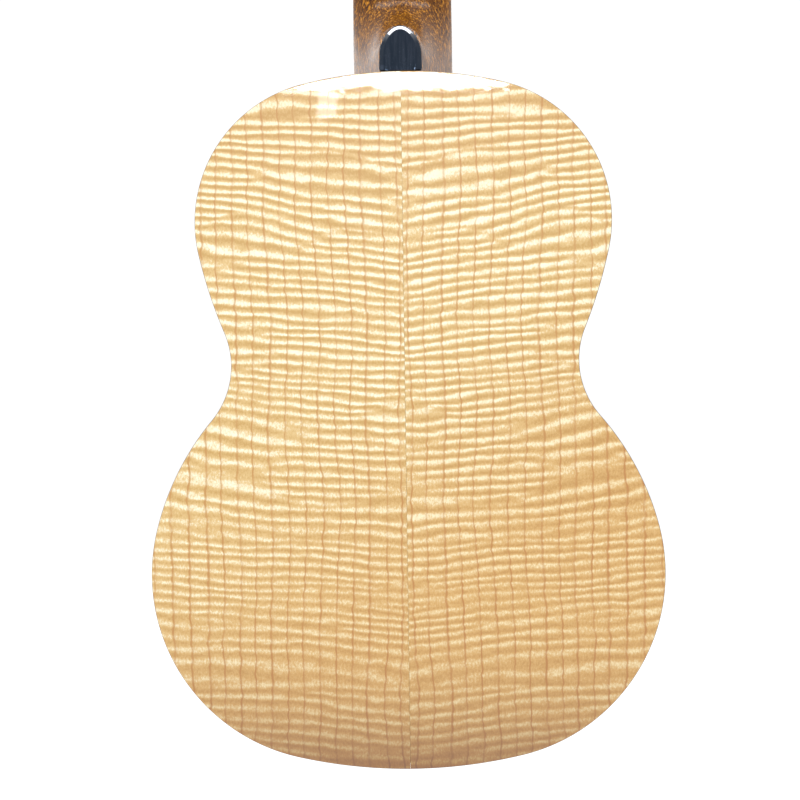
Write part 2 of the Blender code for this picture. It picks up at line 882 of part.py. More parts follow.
def make_strings(root, finish):
    for i, name in enumerate(STRING_NAMES):
        curve = bpy.data.curves.new(f"string_{name}", "CURVE")
        curve.dimensions = "3D"
        curve.bevel_depth = STRING_RADII[i]
        curve.bevel_resolution = 2
        curve.use_fill_caps = True
        route = string_route(i)
        line = curve.splines.new("POLY")
        line.points.add(len(route) - 1)
        for point, (where, factor) in zip(line.points, route):
            point.co = (*where, 1)
            point.radius = factor
        curve.materials.append(finish)
        made = bpy.data.objects.new(f"string_{name}", curve)
        bpy.context.scene.collection.objects.link(made)
        made.parent = root


# ---------------------------------------------------------------- tuners


def gear_mesh():
    """Gear wheel round y with slanted teeth that follow the worm's thread. A tooth faces
    the worm, in the gap between its two middle threads."""
    tip = GEAR_PITCH_RADIUS + ADDENDUM
    root_r = GEAR_PITCH_RADIUS - DEDENDUM
    tooth = 2 * math.pi / GEAR_TEETH
    lead_angle = THREAD_PITCH / (2 * math.pi * WORM_PITCH_RADIUS)
    twist = GEAR_THICK / 2 * lead_angle / GEAR_PITCH_RADIUS
    rings = []
    for y, turn in ((-GEAR_THICK / 2, twist), (GEAR_THICK / 2, -twist)):
        ring = []
        for k in range(GEAR_TEETH):
            for r, share in ((root_r, -0.27), (tip, -0.11), (tip, 0.11), (root_r, 0.27)):
                a = tooth * (k + 0.5 + share) + turn
                ring.append((r * math.cos(a), y, r * math.sin(a)))
        rings.append(ring)
    return loft_mesh(rings)


def worm_mesh(shaft_in, shaft_out):
    """Worm and shaft round x. Each section of the worm is a cam; the sections turn once per
    thread pitch, and the grid of points is fine enough to follow the thread's flanks."""
    foot = WORM_PITCH_RADIUS - DEDENDUM - 0.1 * MM
    crest = WORM_PITCH_RADIUS + ADDENDUM
    half_flank = (foot + crest) / 2
    cam = [crest, crest, half_flank, foot, foot, foot, foot, foot, half_flank, crest]

    def ring(x, radii):
        step = 2 * math.pi / WORM_STEPS
        return [(x, r * math.sin(step * i), -r * math.cos(step * i)) for i, r in enumerate(radii)]

    plain = [SHAFT_RADIUS] * WORM_STEPS
    steps = WORM_TURNS * WORM_STEPS
    start = -WORM_TURNS / 2 * THREAD_PITCH
    rings = [ring(shaft_in, plain), ring(start, plain)]
    for k in range(steps + 1):
        turned = [cam[(i - k) % WORM_STEPS] for i in range(WORM_STEPS)]
        rings.append(ring(start + k * THREAD_PITCH / WORM_STEPS, turned))
    rings += [ring(-start, plain), ring(shaft_out, plain)]
    return loft_mesh(rings)


def make_tuner(index, head, side, post_z, steel, brass, button_finish):
    """One open-gear tuner on the back of the headstock. Its post turns round y and its
    worm round x, both in the headstock's frame."""
    back = HEAD_THICK + GAP
    gear_y = back + PLATE_THICK + 3.2 * MM
    worm_drop = GEAR_PITCH_RADIUS + WORM_PITCH_RADIUS
    at_post = empty(f"post_axis_{index}", head, (side * POST_X, 0, post_z))
    at_worm = empty(f"worm_axis_{index}", head, (side * POST_X, gear_y, post_z - worm_drop))

    post = turned_mesh(
        [
            (0, -POST_TALL),
            (POST_RADIUS - 0.5 * MM, -POST_TALL),
            (POST_RADIUS, -POST_TALL + 0.6 * MM),
            (POST_RADIUS, back + PLATE_THICK + 0.2 * MM),
            (POST_FOOT_RADIUS, back + PLATE_THICK + 0.2 * MM),
            (POST_FOOT_RADIUS, gear_y + GEAR_THICK / 2 + 0.8 * MM),
            (0, gear_y + GEAR_THICK / 2 + 0.8 * MM),
        ],
        16,
    )
    made = solid(f"tuner_post_{index}", post, steel, at_post)
    eye = turned_mesh([(0, -5 * MM), (0.8 * MM, -5 * MM), (0.8 * MM, 5 * MM), (0, 5 * MM)], 8, "X")
    boolean(made, helper(solid(f"string_eye_{index}", eye, None, at_post, (0, -6.4 * MM, 0))))

    wheel = solid(f"tuner_gear_{index}", gear_mesh(), brass, at_post, (0, gear_y, 0))
    bore = turned_mesh([(0, -5 * MM), (2.5 * MM, -5 * MM), (2.5 * MM, 5 * MM), (0, 5 * MM)], 12)
    boolean(wheel, helper(solid(f"gear_bore_{index}", bore, None, at_post, (0, gear_y, 0))))

    shaft_in, shaft_out = -7.6 * MM, BUTTON_OUT - POST_X - 5 * MM
    flip = (0, 0, 0) if side > 0 else (0, 0, math.pi)
    worm = worm_mesh(shaft_in, shaft_out)
    solid(f"tuner_worm_{index}", worm, steel, at_worm, (0, 0, 0), flip)

    knob_in, knob_out = BUTTON_IN - POST_X, BUTTON_OUT - POST_X
    profile = [(0, knob_in), (2.6 * MM, knob_in), (3.0 * MM, knob_in + 2 * MM), (5.4 * MM, knob_in + 4.5 * MM)]
    profile += [(7.0 * MM, knob_in + 7.5 * MM), (7.0 * MM, knob_in + 10 * MM)]
    profile += [(5.6 * MM, knob_out - 1.6 * MM), (3.2 * MM, knob_out), (0, knob_out)]
    knob = turned_mesh(profile, 16, "X")
    for v in knob.verts:
        v.co.y *= 0.5 + 0.5 * min(1.0, abs(3.0 * MM / max(3.0 * MM, v.co.yz.length)))
    made = solid(f"tuner_button_{index}", knob, button_finish, at_worm, (0, 0, 0), flip)
    socket = turned_mesh(
        [(0, knob_in - 1 * MM), (1.8 * MM, knob_in - 1 * MM), (1.8 * MM, shaft_out + GAP), (0, shaft_out + GAP)],
        12,
        "X",
    )
    boolean(made, helper(solid(f"button_socket_{index}", socket, None, at_worm, (0, 0, 0), flip)))

    bush = turned_mesh(
        [
            (BUSH_HOLE, -1.4 * MM),
            (BUSH_FLANGE - 0.4 * MM, -1.4 * MM),
            (BUSH_FLANGE, -1.0 * MM),
            (BUSH_FLANGE, -GAP),
            (BUSH_RADIUS, -GAP),
            (BUSH_RADIUS, 5.5 * MM),
            (BUSH_HOLE, 5.5 * MM),
        ],
        20,
    )
    solid(f"tuner_bushing_{index}", bush, steel, head, (side * POST_X, 0, post_z))
    make_tuner_plate(index, head, side, post_z, gear_y, worm_drop, steel)


def make_tuner_plate(index, head, side, post_z, gear_y, worm_drop, steel):
    """Sheet plate with two ears that carry the worm, screwed to the back of the head."""
    back = HEAD_THICK + GAP
    face = back + PLATE_THICK
    where = (side * POST_X, 0, post_z)
    plate = solid(
        f"tuner_plate_{index}",
        box_mesh((-6.5 * MM, back, -15 * MM), (6.5 * MM, face, 10.5 * MM)),
        steel,
        head,
        where,
    )
    for n, x in enumerate((-6.5 * MM, 5.5 * MM)):
        ear = box_mesh(
            (x, back + 0.2 * MM, -worm_drop - 3 * MM),
            (x + 1 * MM, gear_y + 3 * MM, -worm_drop + 3 * MM),
        )
        boolean(plate, helper(solid(f"plate_ear_{index}_{n}", ear, None, head, where)), "UNION")
    bearing = turned_mesh(
        [(0, -9 * MM), (WORM_BEARING, -9 * MM), (WORM_BEARING, 9 * MM), (0, 9 * MM)],
        12,
        "X",
    )
    at = (where[0], gear_y, post_z - worm_drop)
    boolean(plate, helper(solid(f"worm_bearing_{index}", bearing, None, head, at)))
    hole = turned_mesh([(0, 10 * MM), (3.3 * MM, 10 * MM), (3.3 * MM, 20 * MM), (0, 20 * MM)], 16)
    boolean(plate, helper(solid(f"plate_hole_{index}", hole, None, head, where)))


def make_tuner_holes(head):
    """Stepped holes for the posts and their bushings."""
    holes = []
    for n, (side, post_z) in enumerate(tuner_places()):
        bm = turned_mesh(
            [
                (0, -2 * MM),
                (BUSH_RADIUS + GAP, -2 * MM),
                (BUSH_RADIUS + GAP, 5.5 * MM + GAP),
                (POST_RADIUS + 0.4 * MM, 5.5 * MM + GAP),
                (POST_RADIUS + 0.4 * MM, HEAD_THICK + 2 * MM),
                (0, HEAD_THICK + 2 * MM),
            ],
            16,
        )
        where = (side * POST_X, 0, post_z)
        holes.append(helper(solid(f"tuner_hole_{n + 1}", bm, None, head, where)))
    return holes


def tuner_places():
    """(side, height) of the tuners in the order of the strings."""
    return ((-1, POST_Z[0]), (-1, POST_Z[1]), (1, POST_Z[1]), (1, POST_Z[0]))


# ---------------------------------------------------------------- assembly


def main():
    for old in list(bpy.data.objects):
        bpy.data.objects.remove(old)

    maple = material("flamed_maple", (0.80, 0.58, 0.33), 0.25, coat=0.6)
    spruce = material("spruce", (0.78, 0.60, 0.38), 0.3, coat=0.5)
    mahogany = material("mahogany", (0.30, 0.13, 0.05), 0.25, coat=0.6)
    bracing = material("bracing_spruce", (0.74, 0.58, 0.38), 0.7)
    ebony = material("ebony", (0.02, 0.02, 0.025), 0.2, coat=0.5)
    rosewood = material("rosewood", (0.09, 0.04, 0.025), 0.4)
    bone = material("bone", (0.85, 0.80, 0.68), 0.35)
    nylon = material("nylon", (0.82, 0.80, 0.74), 0.3)
    steel = material("nickel_plate", (0.72, 0.72, 0.72), 0.18, 1.0)
    brass = material("brass", (0.78, 0.58, 0.26), 0.3, 1.0)
    plastic = material("button_plastic", (0.02, 0.02, 0.02), 0.25)

    yoke = head_matrix() @ Vector((0, HEAD_THICK / 2, YOKE_Z))
    root = empty("instrument", None, -yoke)
    head = empty("headstock_frame", root)
    head.matrix_local = head_matrix()

    bolt_hole = turned_mesh(
        [
            (0, JOINT_Z - 60 * MM),
            (3.4 * MM, JOINT_Z - 60 * MM),
            (3.4 * MM, JOINT_Z + 20 * MM),
            (0, JOINT_Z + 20 * MM),
        ],
        16,
        "Z",
    )
    bolt_hole = helper(solid("bolt_hole", bolt_hole, None, root, (0, BOLT_DEPTH, 0)))
    pocket = turned_mesh(
        [
            (0, JOINT_Z - 5 * MM),
            (4.9 * MM, JOINT_Z - 5 * MM),
            (4.9 * MM, JOINT_Z + 15 * MM),
            (0, JOINT_Z + 15 * MM),
        ],
        16,
        "Z",
    )
    pocket = helper(solid("insert_pocket", pocket, None, root, (0, BOLT_DEPTH, 0)))
    swollen = half_rim(-GAP)
    outline = swollen + mirrored(swollen)[1:-1]
    body_clearance = slab_mesh(outline, level(-0.0 * MM), level(90 * MM))
    body_clearance = helper(solid("body_clearance", body_clearance, None, root))

    make_plates(root, spruce, maple)
    make_rim(root, maple, bracing, bolt_hole)
    make_blocks(root, mahogany, bolt_hole)
    make_back_braces(root, bracing)
    make_top_braces(root, bracing, maple)
    make_rosette(root, rosewood)

    holes = make_tuner_holes(head)
    make_neck(root, head, mahogany, body_clearance, pocket, holes)
    make_head_veneer(head, ebony, holes)
    make_heel_cap(root, ebony, body_clearance)
    make_neck_bolt(root, steel, brass)
    make_fingerboard(root, rosewood)
    make_nut(root, bone)
    make_bridge(root, rosewood, bone)
    make_strings(root, nylon)
    for n, (side, post_z) in enumerate(tuner_places()):
        make_tuner(n + 1, head, side, post_z, steel, brass, plastic)


main()
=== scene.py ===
"""Looks of the concert ukulele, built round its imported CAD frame.

Pieces are modelled in the instrument's own frame, like the CAD: y = 0 is the face of the
soundboard, z = 0 the edge of the nut, x = 0 the centre seam. PLACE moves them to the row
frame, and HEAD is the tilted frame of the headstock.
"""

import math

import bmesh
import bpy
from mathutils import Matrix, Vector


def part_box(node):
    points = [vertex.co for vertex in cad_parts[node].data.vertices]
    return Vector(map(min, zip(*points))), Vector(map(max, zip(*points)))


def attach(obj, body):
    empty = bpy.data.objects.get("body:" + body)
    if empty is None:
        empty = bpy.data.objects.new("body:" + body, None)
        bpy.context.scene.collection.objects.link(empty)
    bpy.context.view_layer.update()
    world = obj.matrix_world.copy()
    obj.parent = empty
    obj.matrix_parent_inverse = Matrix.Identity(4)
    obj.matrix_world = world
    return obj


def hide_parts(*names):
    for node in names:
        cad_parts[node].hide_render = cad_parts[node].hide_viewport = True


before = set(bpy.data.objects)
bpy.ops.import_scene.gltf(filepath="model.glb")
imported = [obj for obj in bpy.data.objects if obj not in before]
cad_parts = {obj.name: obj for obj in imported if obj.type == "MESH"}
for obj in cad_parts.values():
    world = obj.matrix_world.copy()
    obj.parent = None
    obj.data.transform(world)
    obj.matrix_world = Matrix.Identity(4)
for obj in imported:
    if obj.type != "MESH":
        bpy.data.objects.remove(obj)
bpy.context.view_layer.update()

MM = 0.001

# Shading: edges sharper than this stay crisp, and faces larger than this stay flat
SHARP_ANGLE = math.radians(32)
FLAT_AREA = 400 * MM**2

# Sizes shared with the CAD
SCALE_LENGTH = 381 * MM
FRETS = 18
DEPTH_AT_NECK = 60 * MM
DEPTH_AT_TAIL = 70 * MM
HEAD_ANGLE = math.radians(13)
# The half rim's arcs from the tail up: radius in mm, turn in degrees, segments
RIM_ARCS = (
    (200, 13.0, 12),
    (75, 91.0, 60),
    (109, 26.5, 20),
    (-34, -63.0, 36),
    (190, 10.0, 10),
    (57, 89.0, 54),
)
NECK_ARC_TURN = 180 - sum(turn for _, turn, _ in RIM_ARCS)
NECK_ARC_SEGMENTS = 12
PLATE_THICK = 2.0 * MM
SIDE_THICK = 1.8 * MM
SOUNDHOLE_RADIUS = 27.5 * MM
NUT_HALF = 17.5 * MM
JOINT_HALF = 21.5 * MM
SHAFT_THIN = 11 * MM
SHAFT_THICK = 12.5 * MM
HEEL_CAP_THICK = 2 * MM
HEEL_CAP_HALF = 8.4 * MM
HEEL_CAP_LONG = 18.5 * MM
BOARD_TOP = -4.8 * MM
NUT_LONG = 4.5 * MM
HEAD_THICK = 14 * MM
VENEER_THICK = 1.5 * MM
POST_X = 16 * MM
POST_Z = (30 * MM, 66 * MM)
# Side and height of the posts that hold the strings g, c, e and a
POSTS = ((-1, POST_Z[0]), (-1, POST_Z[1]), (1, POST_Z[1]), (1, POST_Z[0]))
GEAR_TEETH = 14
GEAR_PITCH_RADIUS = 4.15 * MM
WORM_PITCH_RADIUS = 2.3 * MM
THREAD_PITCH = 2 * math.pi * GEAR_PITCH_RADIUS / GEAR_TEETH
TUNER_PLATE_LIFT = 0.3 * MM
TUNER_PLATE_THICK = 0.8 * MM

# The camera looks at the back from this far, with a long lens
CAMERA_DISTANCE = 0.65
CAMERA_LENS = 73
CAMERA_AIM_X = 2.1 * MM
CAMERA_AIM_UP = 8 * MM
CAMERA_SWING = math.radians(1.34)
CAMERA_ROLL = math.radians(-0.88)


def fret_distance(n):
    """From the nut to the fret."""
    return SCALE_LENGTH * (1 - 2 ** (-n / 12))


JOINT_Z = -fret_distance(14)
SOUNDHOLE_Z = JOINT_Z - 90 * MM
SADDLE_Z = -SCALE_LENGTH - 1.5 * MM
PLACE = Matrix.Translation((0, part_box("soundboard_left")[0].y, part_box("nut")[0].z))
HEAD = Matrix.Translation((0, -0.5 * MM, NUT_LONG)) @ Matrix.Rotation(-HEAD_ANGLE, 4, "X")


# ---------------------------------------------------------------- shapes


def rim_arcs(offset):
    """The half rim's arcs this far inside the outer face, closed on the axis."""
    arcs = [(r * MM - offset, math.radians(turn), n) for r, turn, n in RIM_ARCS]
    x = heading = 0.0
    for radius, turn, _ in arcs:
        x += radius * (math.sin(heading + turn) - math.sin(heading))
        heading += turn
    last = math.radians(NECK_ARC_TURN)
    return arcs + [(x / math.sin(last), last, NECK_ARC_SEGMENTS)]


def rim_length():
    """How far the half rim reaches from the tail to the neck, along z."""
    heading = length = 0.0
    for radius, turn, _ in rim_arcs(0):
        length += radius * (math.cos(heading) - math.cos(heading + turn))
        heading += turn
    return length


TAIL_Z = JOINT_Z - rim_length()
TAPER = (DEPTH_AT_TAIL - DEPTH_AT_NECK) / (JOINT_Z - TAIL_Z)


def half_rim(offset=0.0):
    """(x, z) points of the half rim from the tail to the neck."""
    x, z, heading = 0.0, TAIL_Z + offset, 0.0
    points = [(x, z)]
    for radius, turn, segments in rim_arcs(offset):
        for k in range(1, segments + 1):
            a = heading + turn * k / segments
            px = x + radius * (math.sin(a) - math.sin(heading))
            pz = z + radius * (math.cos(heading) - math.cos(a))
            points.append((px, pz))
        x, z = points[-1]
        heading += turn
    return points


def back_y(z):
    """Depth of the back's outer face, which slopes from the neck to the tail."""
    return DEPTH_AT_NECK + TAPER * (JOINT_Z - z)


def neck_half(z):
    """Half width of the neck and its fingerboard."""
    return NUT_HALF + (JOINT_HALF - NUT_HALF) * min(z, 0) / JOINT_Z


def loft(rings):
    """A closed mesh through rings of points, with flat ends."""
    bm = bmesh.new()
    made = [[bm.verts.new(p) for p in ring] for ring in rings]
    for a, b in zip(made, made[1:]):
        for i in range(len(a)):
            j = (i + 1) % len(a)
            bm.faces.new((a[i], a[j], b[j], b[i]))
    bm.faces.new(made[0])
    bm.faces.new(made[-1])
    return bm


def turned(profile, segments=48, axis="Y"):
    """Spins (radius, height) points round an axis. The profile starts and ends on the axis,
    or is a closed loop away from it."""
    along = {"X": Vector((1, 0, 0)), "Y": Vector((0, 1, 0)), "Z": Vector((0, 0, 1))}[axis]
    out = Vector((0, 0, 1)) if axis != "Z" else Vector((1, 0, 0))
    bm = bmesh.new()
    points = [bm.verts.new(out * r + along * h) for r, h in profile]
    edges = [bm.edges.new(pair) for pair in zip(points, points[1:])]
    if profile[0][0] > 0:
        edges.append(bm.edges.new((points[-1], points[0])))
    bmesh.ops.spin(
        bm,
        geom=points + edges,
        cent=(0, 0, 0),
        axis=along,
        angle=2 * math.pi,
        steps=segments,
        use_merge=True,
    )
    bmesh.ops.remove_doubles(bm, verts=bm.verts, dist=0.001 * MM)
    return bm


def rounded(profile, radius, steps):
    """The open profile with its inner corners rounded."""
    points = [Vector(p) for p in profile]
    out = [points[0]]
    for before, corner, after in zip(points, points[1:], points[2:]):
        a, b = before - corner, after - corner
        reach = min(radius, a.length * 0.45, b.length * 0.45)
        start, end = corner + a.normalized() * reach, corner + b.normalized() * reach
        for k in range(steps + 1):
            t = k / steps
            out.append(start * (1 - t) ** 2 + corner * 2 * t * (1 - t) + end * t**2)
    return [tuple(p) for p in out + [points[-1]]]


def box_mesh(low, high):
    """A box between two opposite corners."""
    bm = bmesh.new()
    bmesh.ops.create_cube(bm, size=1)
    low, high = Vector(low), Vector(high)
    for v in bm.verts:
        v.co = Vector(v.co[i] * (high - low)[i] + (high + low)[i] / 2 for i in range(3))
    return bm


def piece(name, bm, finish, body="instrument", replaces=(), place=None):
    """Makes the mesh a smooth-shaded piece that rides on its body."""
    bmesh.ops.recalc_face_normals(bm, faces=bm.faces)
    mesh = bpy.data.meshes.new(name)
    bm.to_mesh(mesh)
    bm.free()
    mesh.shade_smooth()
    mesh.set_sharp_from_angle(angle=SHARP_ANGLE)
    for face in mesh.polygons:
        if face.area > FLAT_AREA:
            face.use_smooth = False
    mesh.materials.append(finish)
    made = bpy.data.objects.new(name, mesh)
    bpy.context.scene.collection.objects.link(made)
    made.matrix_world = PLACE @ (place or Matrix.Identity(4))
    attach(made, body)
    if replaces:
        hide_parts(*replaces)
    return made


def soften(made, width):
    """Rounds the piece's sharp edges."""
    modifier = made.modifiers.new("soften", "BEVEL")
    modifier.width = width
    modifier.segments = 3
    modifier.limit_method = "ANGLE"
    modifier.angle_limit = math.radians(40)
    modifier.harden_normals = True


def dress(node, finish, bevel=0.0):
    """Keeps a CAD node's shape and gives it a finish and softer edges."""
    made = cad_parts[node]
    made.data.materials.clear()
    made.data.materials.append(finish)
    if bevel:
        soften(made, bevel)


# ---------------------------------------------------------------- finishes


class Finish:
    """A material under construction. Inputs may be sockets or plain values."""

    def __init__(self, name, **settings):
        self.material = bpy.data.materials.new(name)
        self.material.use_nodes = True
        self.tree = self.material.node_tree
        self.shader = self.tree.nodes["Principled BSDF"]
        for key, value in settings.items():
            self.shader.inputs[key.replace("_", " ")].default_value = value

    def node(self, kind, inputs=(), **attributes):
        made = self.tree.nodes.new(kind)
        for key, value in attributes.items():
            setattr(made, key, value)
        for key, value in dict(inputs).items():
            self.set(made.inputs[key], value)
        return made

    def set(self, socket, value):
        if isinstance(value, bpy.types.NodeSocket):
            self.tree.links.new(value, socket)
        else:
            socket.default_value = value

    def math(self, operation, *values):
        made = self.node("ShaderNodeMath", operation=operation)
        for socket, value in zip(made.inputs, values):
            self.set(socket, value)
        return made.outputs[0]

    def ramp(self, value, low, high, to_low=0.0, to_high=1.0, smooth=True):
        """Maps low..high to to_low..to_high, held at both ends."""
        inputs = {
            "Value": value,
            "From Min": low,
            "From Max": high,
            "To Min": to_low,
            "To Max": to_high,
        }
        kind = "SMOOTHSTEP" if smooth else "LINEAR"
        made = self.node("ShaderNodeMapRange", inputs, interpolation_type=kind)
        return made.outputs["Result"]

    def vector(self, x, y, z):
        made = self.node("ShaderNodeCombineXYZ", {"X": x, "Y": y, "Z": z})
        return made.outputs[0]

    def stretch(self, vector, scale):
        made = self.node("ShaderNodeVectorMath", operation="MULTIPLY")
        self.set(made.inputs[0], vector)
        made.inputs[1].default_value = scale
        return made.outputs[0]

    def noise(self, vector, scale, detail=1.0, roughness=0.5):
        """Noise from 0 to 1 over the vector, stretched by scale."""
        inputs = {
            "Vector": self.stretch(vector, scale),
            "Scale": 1.0,
            "Detail": detail,
            "Roughness": roughness,
        }
        return self.node("ShaderNodeTexNoise", inputs).outputs["Fac"]

    def mix(self, factor, a, b, blend="MIX"):
        made = self.node("ShaderNodeMix", data_type="RGBA", blend_type=blend)
        self.set(made.inputs["Factor"], factor)
        self.set(made.inputs["A"], a)
        self.set(made.inputs["B"], b)
        return made.outputs["Result"]

    def millimetres(self):
        """The piece's own coordinates in mm, as a vector and its three parts."""
        coordinates = self.node("ShaderNodeTexCoord").outputs["Object"]
        vector = self.stretch(coordinates, (1000, 1000, 1000))
        parts = self.node("ShaderNodeSeparateXYZ", {"Vector": vector})
        return vector, parts.outputs

    def bump(self, height, distance):
        inputs = {"Height": height, "Distance": distance, "Strength": 1.0}
        return self.node("ShaderNodeBump", inputs).outputs["Normal"]

    def finish(self, colour, normal=None, roughness=None):
        self.set(self.shader.inputs["Base Color"], colour)
        if normal:
            self.set(self.shader.inputs["Normal"], normal)
        if roughness is not None:
            self.set(self.shader.inputs["Roughness"], roughness)
        return self.material


def linear(value):
    """A colour channel from 0 to 255, as the eye sees it, in the renderer's linear values."""
    if value > 10:
        return ((value / 255 + 0.055) / 1.055) ** 2.4
    return value / 3295


def rgb(red, green, blue):
    """A colour given as the eye sees it."""
    return (linear(red), linear(green), linear(blue), 1)


# Maple's tones: the plain one, and a deeper and warmer one towards the tail, which is painted
# shade of the light falling off there
MAPLE_GROUND = ((0.585, 0.402, 0.158, 1), (0.23, 0.10, 0.010, 1))
MAPLE_DARK = ((0.445, 0.262, 0.062, 1), (0.17, 0.062, 0.003, 1))
MAPLE_BRIGHT = ((0.79, 0.755, 0.56, 1), (0.31, 0.19, 0.035, 1))
MAPLE_RING = ((0.42, 0.205, 0.04, 1), (0.15, 0.05, 0.002, 1))

# Flames: millimetres from one to the next, and how many flames slow and middling drift move them
BROAD_FLAMES = (5.2, 2.9, 1.2)
TIGHT_FLAMES = (3.7, 2.1, -1.0)
QUICK_DRIFT = 0.4
FLAME_SLOPE = 0.085
FLAME_SKEW = 0.25
RING_SPACING = 6.6


def flame_bands(f, plane, across, along, seed):
    """Dark and bright bands across the grain, from about -1 to 1, in two spacings."""

    def drift(across_scale, along_scale, k):
        return f.noise(plane, (across_scale, along_scale, seed + k), 0.5)

    slow = drift(0.011, 0.024, 1.7)
    middle = drift(0.03, 0.09, 5.3)
    quick = f.math("MULTIPLY", drift(0.12, 0.26, 9.1), QUICK_DRIFT)
    level = f.math("SUBTRACT", along, f.math("MULTIPLY", across, FLAME_SLOPE))

    def wave(spacing, slow_share, middle_share):
        turns = f.math("DIVIDE", level, spacing)
        turns = f.math("ADD", turns, f.math("MULTIPLY", slow, slow_share))
        turns = f.math("ADD", turns, f.math("MULTIPLY", middle, middle_share))
        angle = f.math("MULTIPLY", f.math("ADD", turns, quick), 2 * math.pi)
        skew = f.math("MULTIPLY", f.math("SINE", angle), FLAME_SKEW)
        return f.math("SINE", f.math("ADD", angle, skew))

    which = f.ramp(drift(0.017, 0.035, 13.0), 0.45, 0.55)
    broad = f.math("MULTIPLY", wave(*BROAD_FLAMES), f.math("SUBTRACT", 1.0, which))
    tight = f.math("MULTIPLY", wave(*TIGHT_FLAMES), which)
    patchy = f.ramp(drift(0.024, 0.07, 21.0), 0.3, 0.62, 0.7, 1.1)
    return f.math("MULTIPLY", f.math("ADD", broad, tight), patchy)


def growth_rings(f, plane, across, flame, seed):
    """Strength of the ring lines: each has one soft side and shifts a little at every flame."""
    sway = f.math("MULTIPLY", f.noise(plane, (0.01, 0.012, seed + 41.0), 1.0), 9.0)
    shift = f.math("MULTIPLY", f.noise(plane, (0.05, 0.16, seed + 43.0), 1.0), 2.2)
    shift = f.math("ADD", shift, f.math("MULTIPLY", flame, 0.16))
    ring = f.math("ADD", f.math("ADD", across, sway), shift)
    uneven = f.noise(f.vector(ring, 0.0, 0.0), (0.1, 1.0, 1.0), 1.0)
    ring = f.math("ADD", f.math("DIVIDE", ring, RING_SPACING), f.math("MULTIPLY", uneven, 0.6))
    within = f.math("FRACT", ring)
    from_line = f.math("ABSOLUTE", f.math("SUBTRACT", within, 0.5))
    sharp = f.ramp(from_line, 0.015, 0.095, 1.0, 0.0)
    soft = f.math("MULTIPLY", f.ramp(within, 0.1, 0.5), f.ramp(within, 0.5, 0.56, 1.0, 0.0))
    fade = f.ramp(f.noise(plane, (0.2, 0.05, seed + 51.0), 1.0), 0.3, 0.65, 0.5, 1.0)
    fade = f.math("MULTIPLY", fade, f.ramp(flame, 1.0, -0.8, 0.6, 1.0))
    return f.math("ADD", f.math("MULTIPLY", sharp, fade), f.math("MULTIPLY", soft, 0.16))


def flamed_maple(f, across, along, strength, tail_shade, seed=0.0):
    """Tone and normal of flamed maple. across is the distance from the edge where the book was
    opened and along runs with the grain, both in mm. Where the flames' strength is below 0,
    bright and dark ones change places."""
    plane = f.vector(across, along, 1.0)
    flame = f.math("MULTIPLY", flame_bands(f, plane, across, along, seed), strength)

    # silk: short dashes along the grain that break up the edge of every flame
    dashes = f.math("SUBTRACT", f.noise(plane, (1.3, 0.75, seed + 3.0), 2.0, 0.75), 0.5)
    cloud = f.math("SUBTRACT", f.noise(plane, (0.16, 0.35, seed + 4.0), 2.0, 0.6), 0.5)
    torn = f.math("ADD", f.math("ADD", flame, f.math("MULTIPLY", dashes, 2.7)), cloud)

    # tail_shade moves each tone towards its tail tone: painted shade
    tone = f.mix(tail_shade, *MAPLE_GROUND)
    tone = f.mix(f.ramp(torn, 0.2, -1.3), tone, f.mix(tail_shade, *MAPLE_DARK))
    tone = f.mix(f.ramp(torn, -0.1, 1.2), tone, f.mix(tail_shade, *MAPLE_BRIGHT))
    rings = growth_rings(f, plane, across, flame, seed)
    tone = f.mix(rings, tone, f.mix(tail_shade, *MAPLE_RING))
    height = f.math("ADD", f.math("MULTIPLY", flame, 0.022), f.math("MULTIPLY", dashes, 0.025))
    return tone, f.bump(height, 1 * MM)


def back_maple():
    """The bookmatched back. Towards the tail its flames are calmer, and its tone turns deeper and
    warmer as painted shade of the light falling off.
    """
    f = Finish("flamed_maple_back", Coat_Weight=1.0, Coat_Roughness=0.03, Coat_IOR=1.5)
    vector, parts = f.millimetres()
    across = f.math("ABSOLUTE", parts["X"])
    calm = f.ramp(parts["Z"], -280.0, -430.0, 1.05, 0.62, smooth=False)
    strength = f.math("MULTIPLY", f.math("SIGN", parts["X"]), calm)
    # painted shade: the tones darken towards the tail, most near its end
    tail_shade = f.math("POWER", f.ramp(parts["Z"], -330.0, -491.0, smooth=False), 6.5)
    tone, normal = flamed_maple(f, across, parts["Z"], strength, tail_shade)
    # painted shade: the tone is multiplied darker and warmer towards the tail, sooner on the -x
    # half where less light falls, and a little near the neck
    slant = f.math("ADD", parts["Z"], f.math("MULTIPLY", parts["X"], 0.6))
    painted_shade = f.ramp(slant, -330.0, -430.0, smooth=False)
    painted_shade = f.math("ADD", painted_shade, f.ramp(parts["Z"], -270.0, -235.0, 0.0, 0.4))
    tone = f.mix(painted_shade, tone, (0.91, 0.79, 0.62, 1), "MULTIPLY")
    ripple = f.noise(vector, (0.07, 0.0, 0.11), 2.0)
    f.set(f.shader.inputs["Coat Normal"], f.bump(ripple, 0.03 * MM))
    # the plate's edge gets a line of painted shade
    return f.finish(edge_shade(f, tone), normal, 0.42)


def edge_shade(f, tone):
    """Painted shade: a thin dark brown line where the plate's edge turns away from its face, set
    by the surface normal.
    """
    facing = f.node("ShaderNodeNewGeometry").outputs["Normal"]
    facing = f.node("ShaderNodeSeparateXYZ", {"Vector": facing}).outputs["Y"]
    edge_turn_shade = f.ramp(f.math("ABSOLUTE", facing), 0.93, 0.75)
    return f.mix(edge_turn_shade, tone, (0.10, 0.05, 0.03, 1))


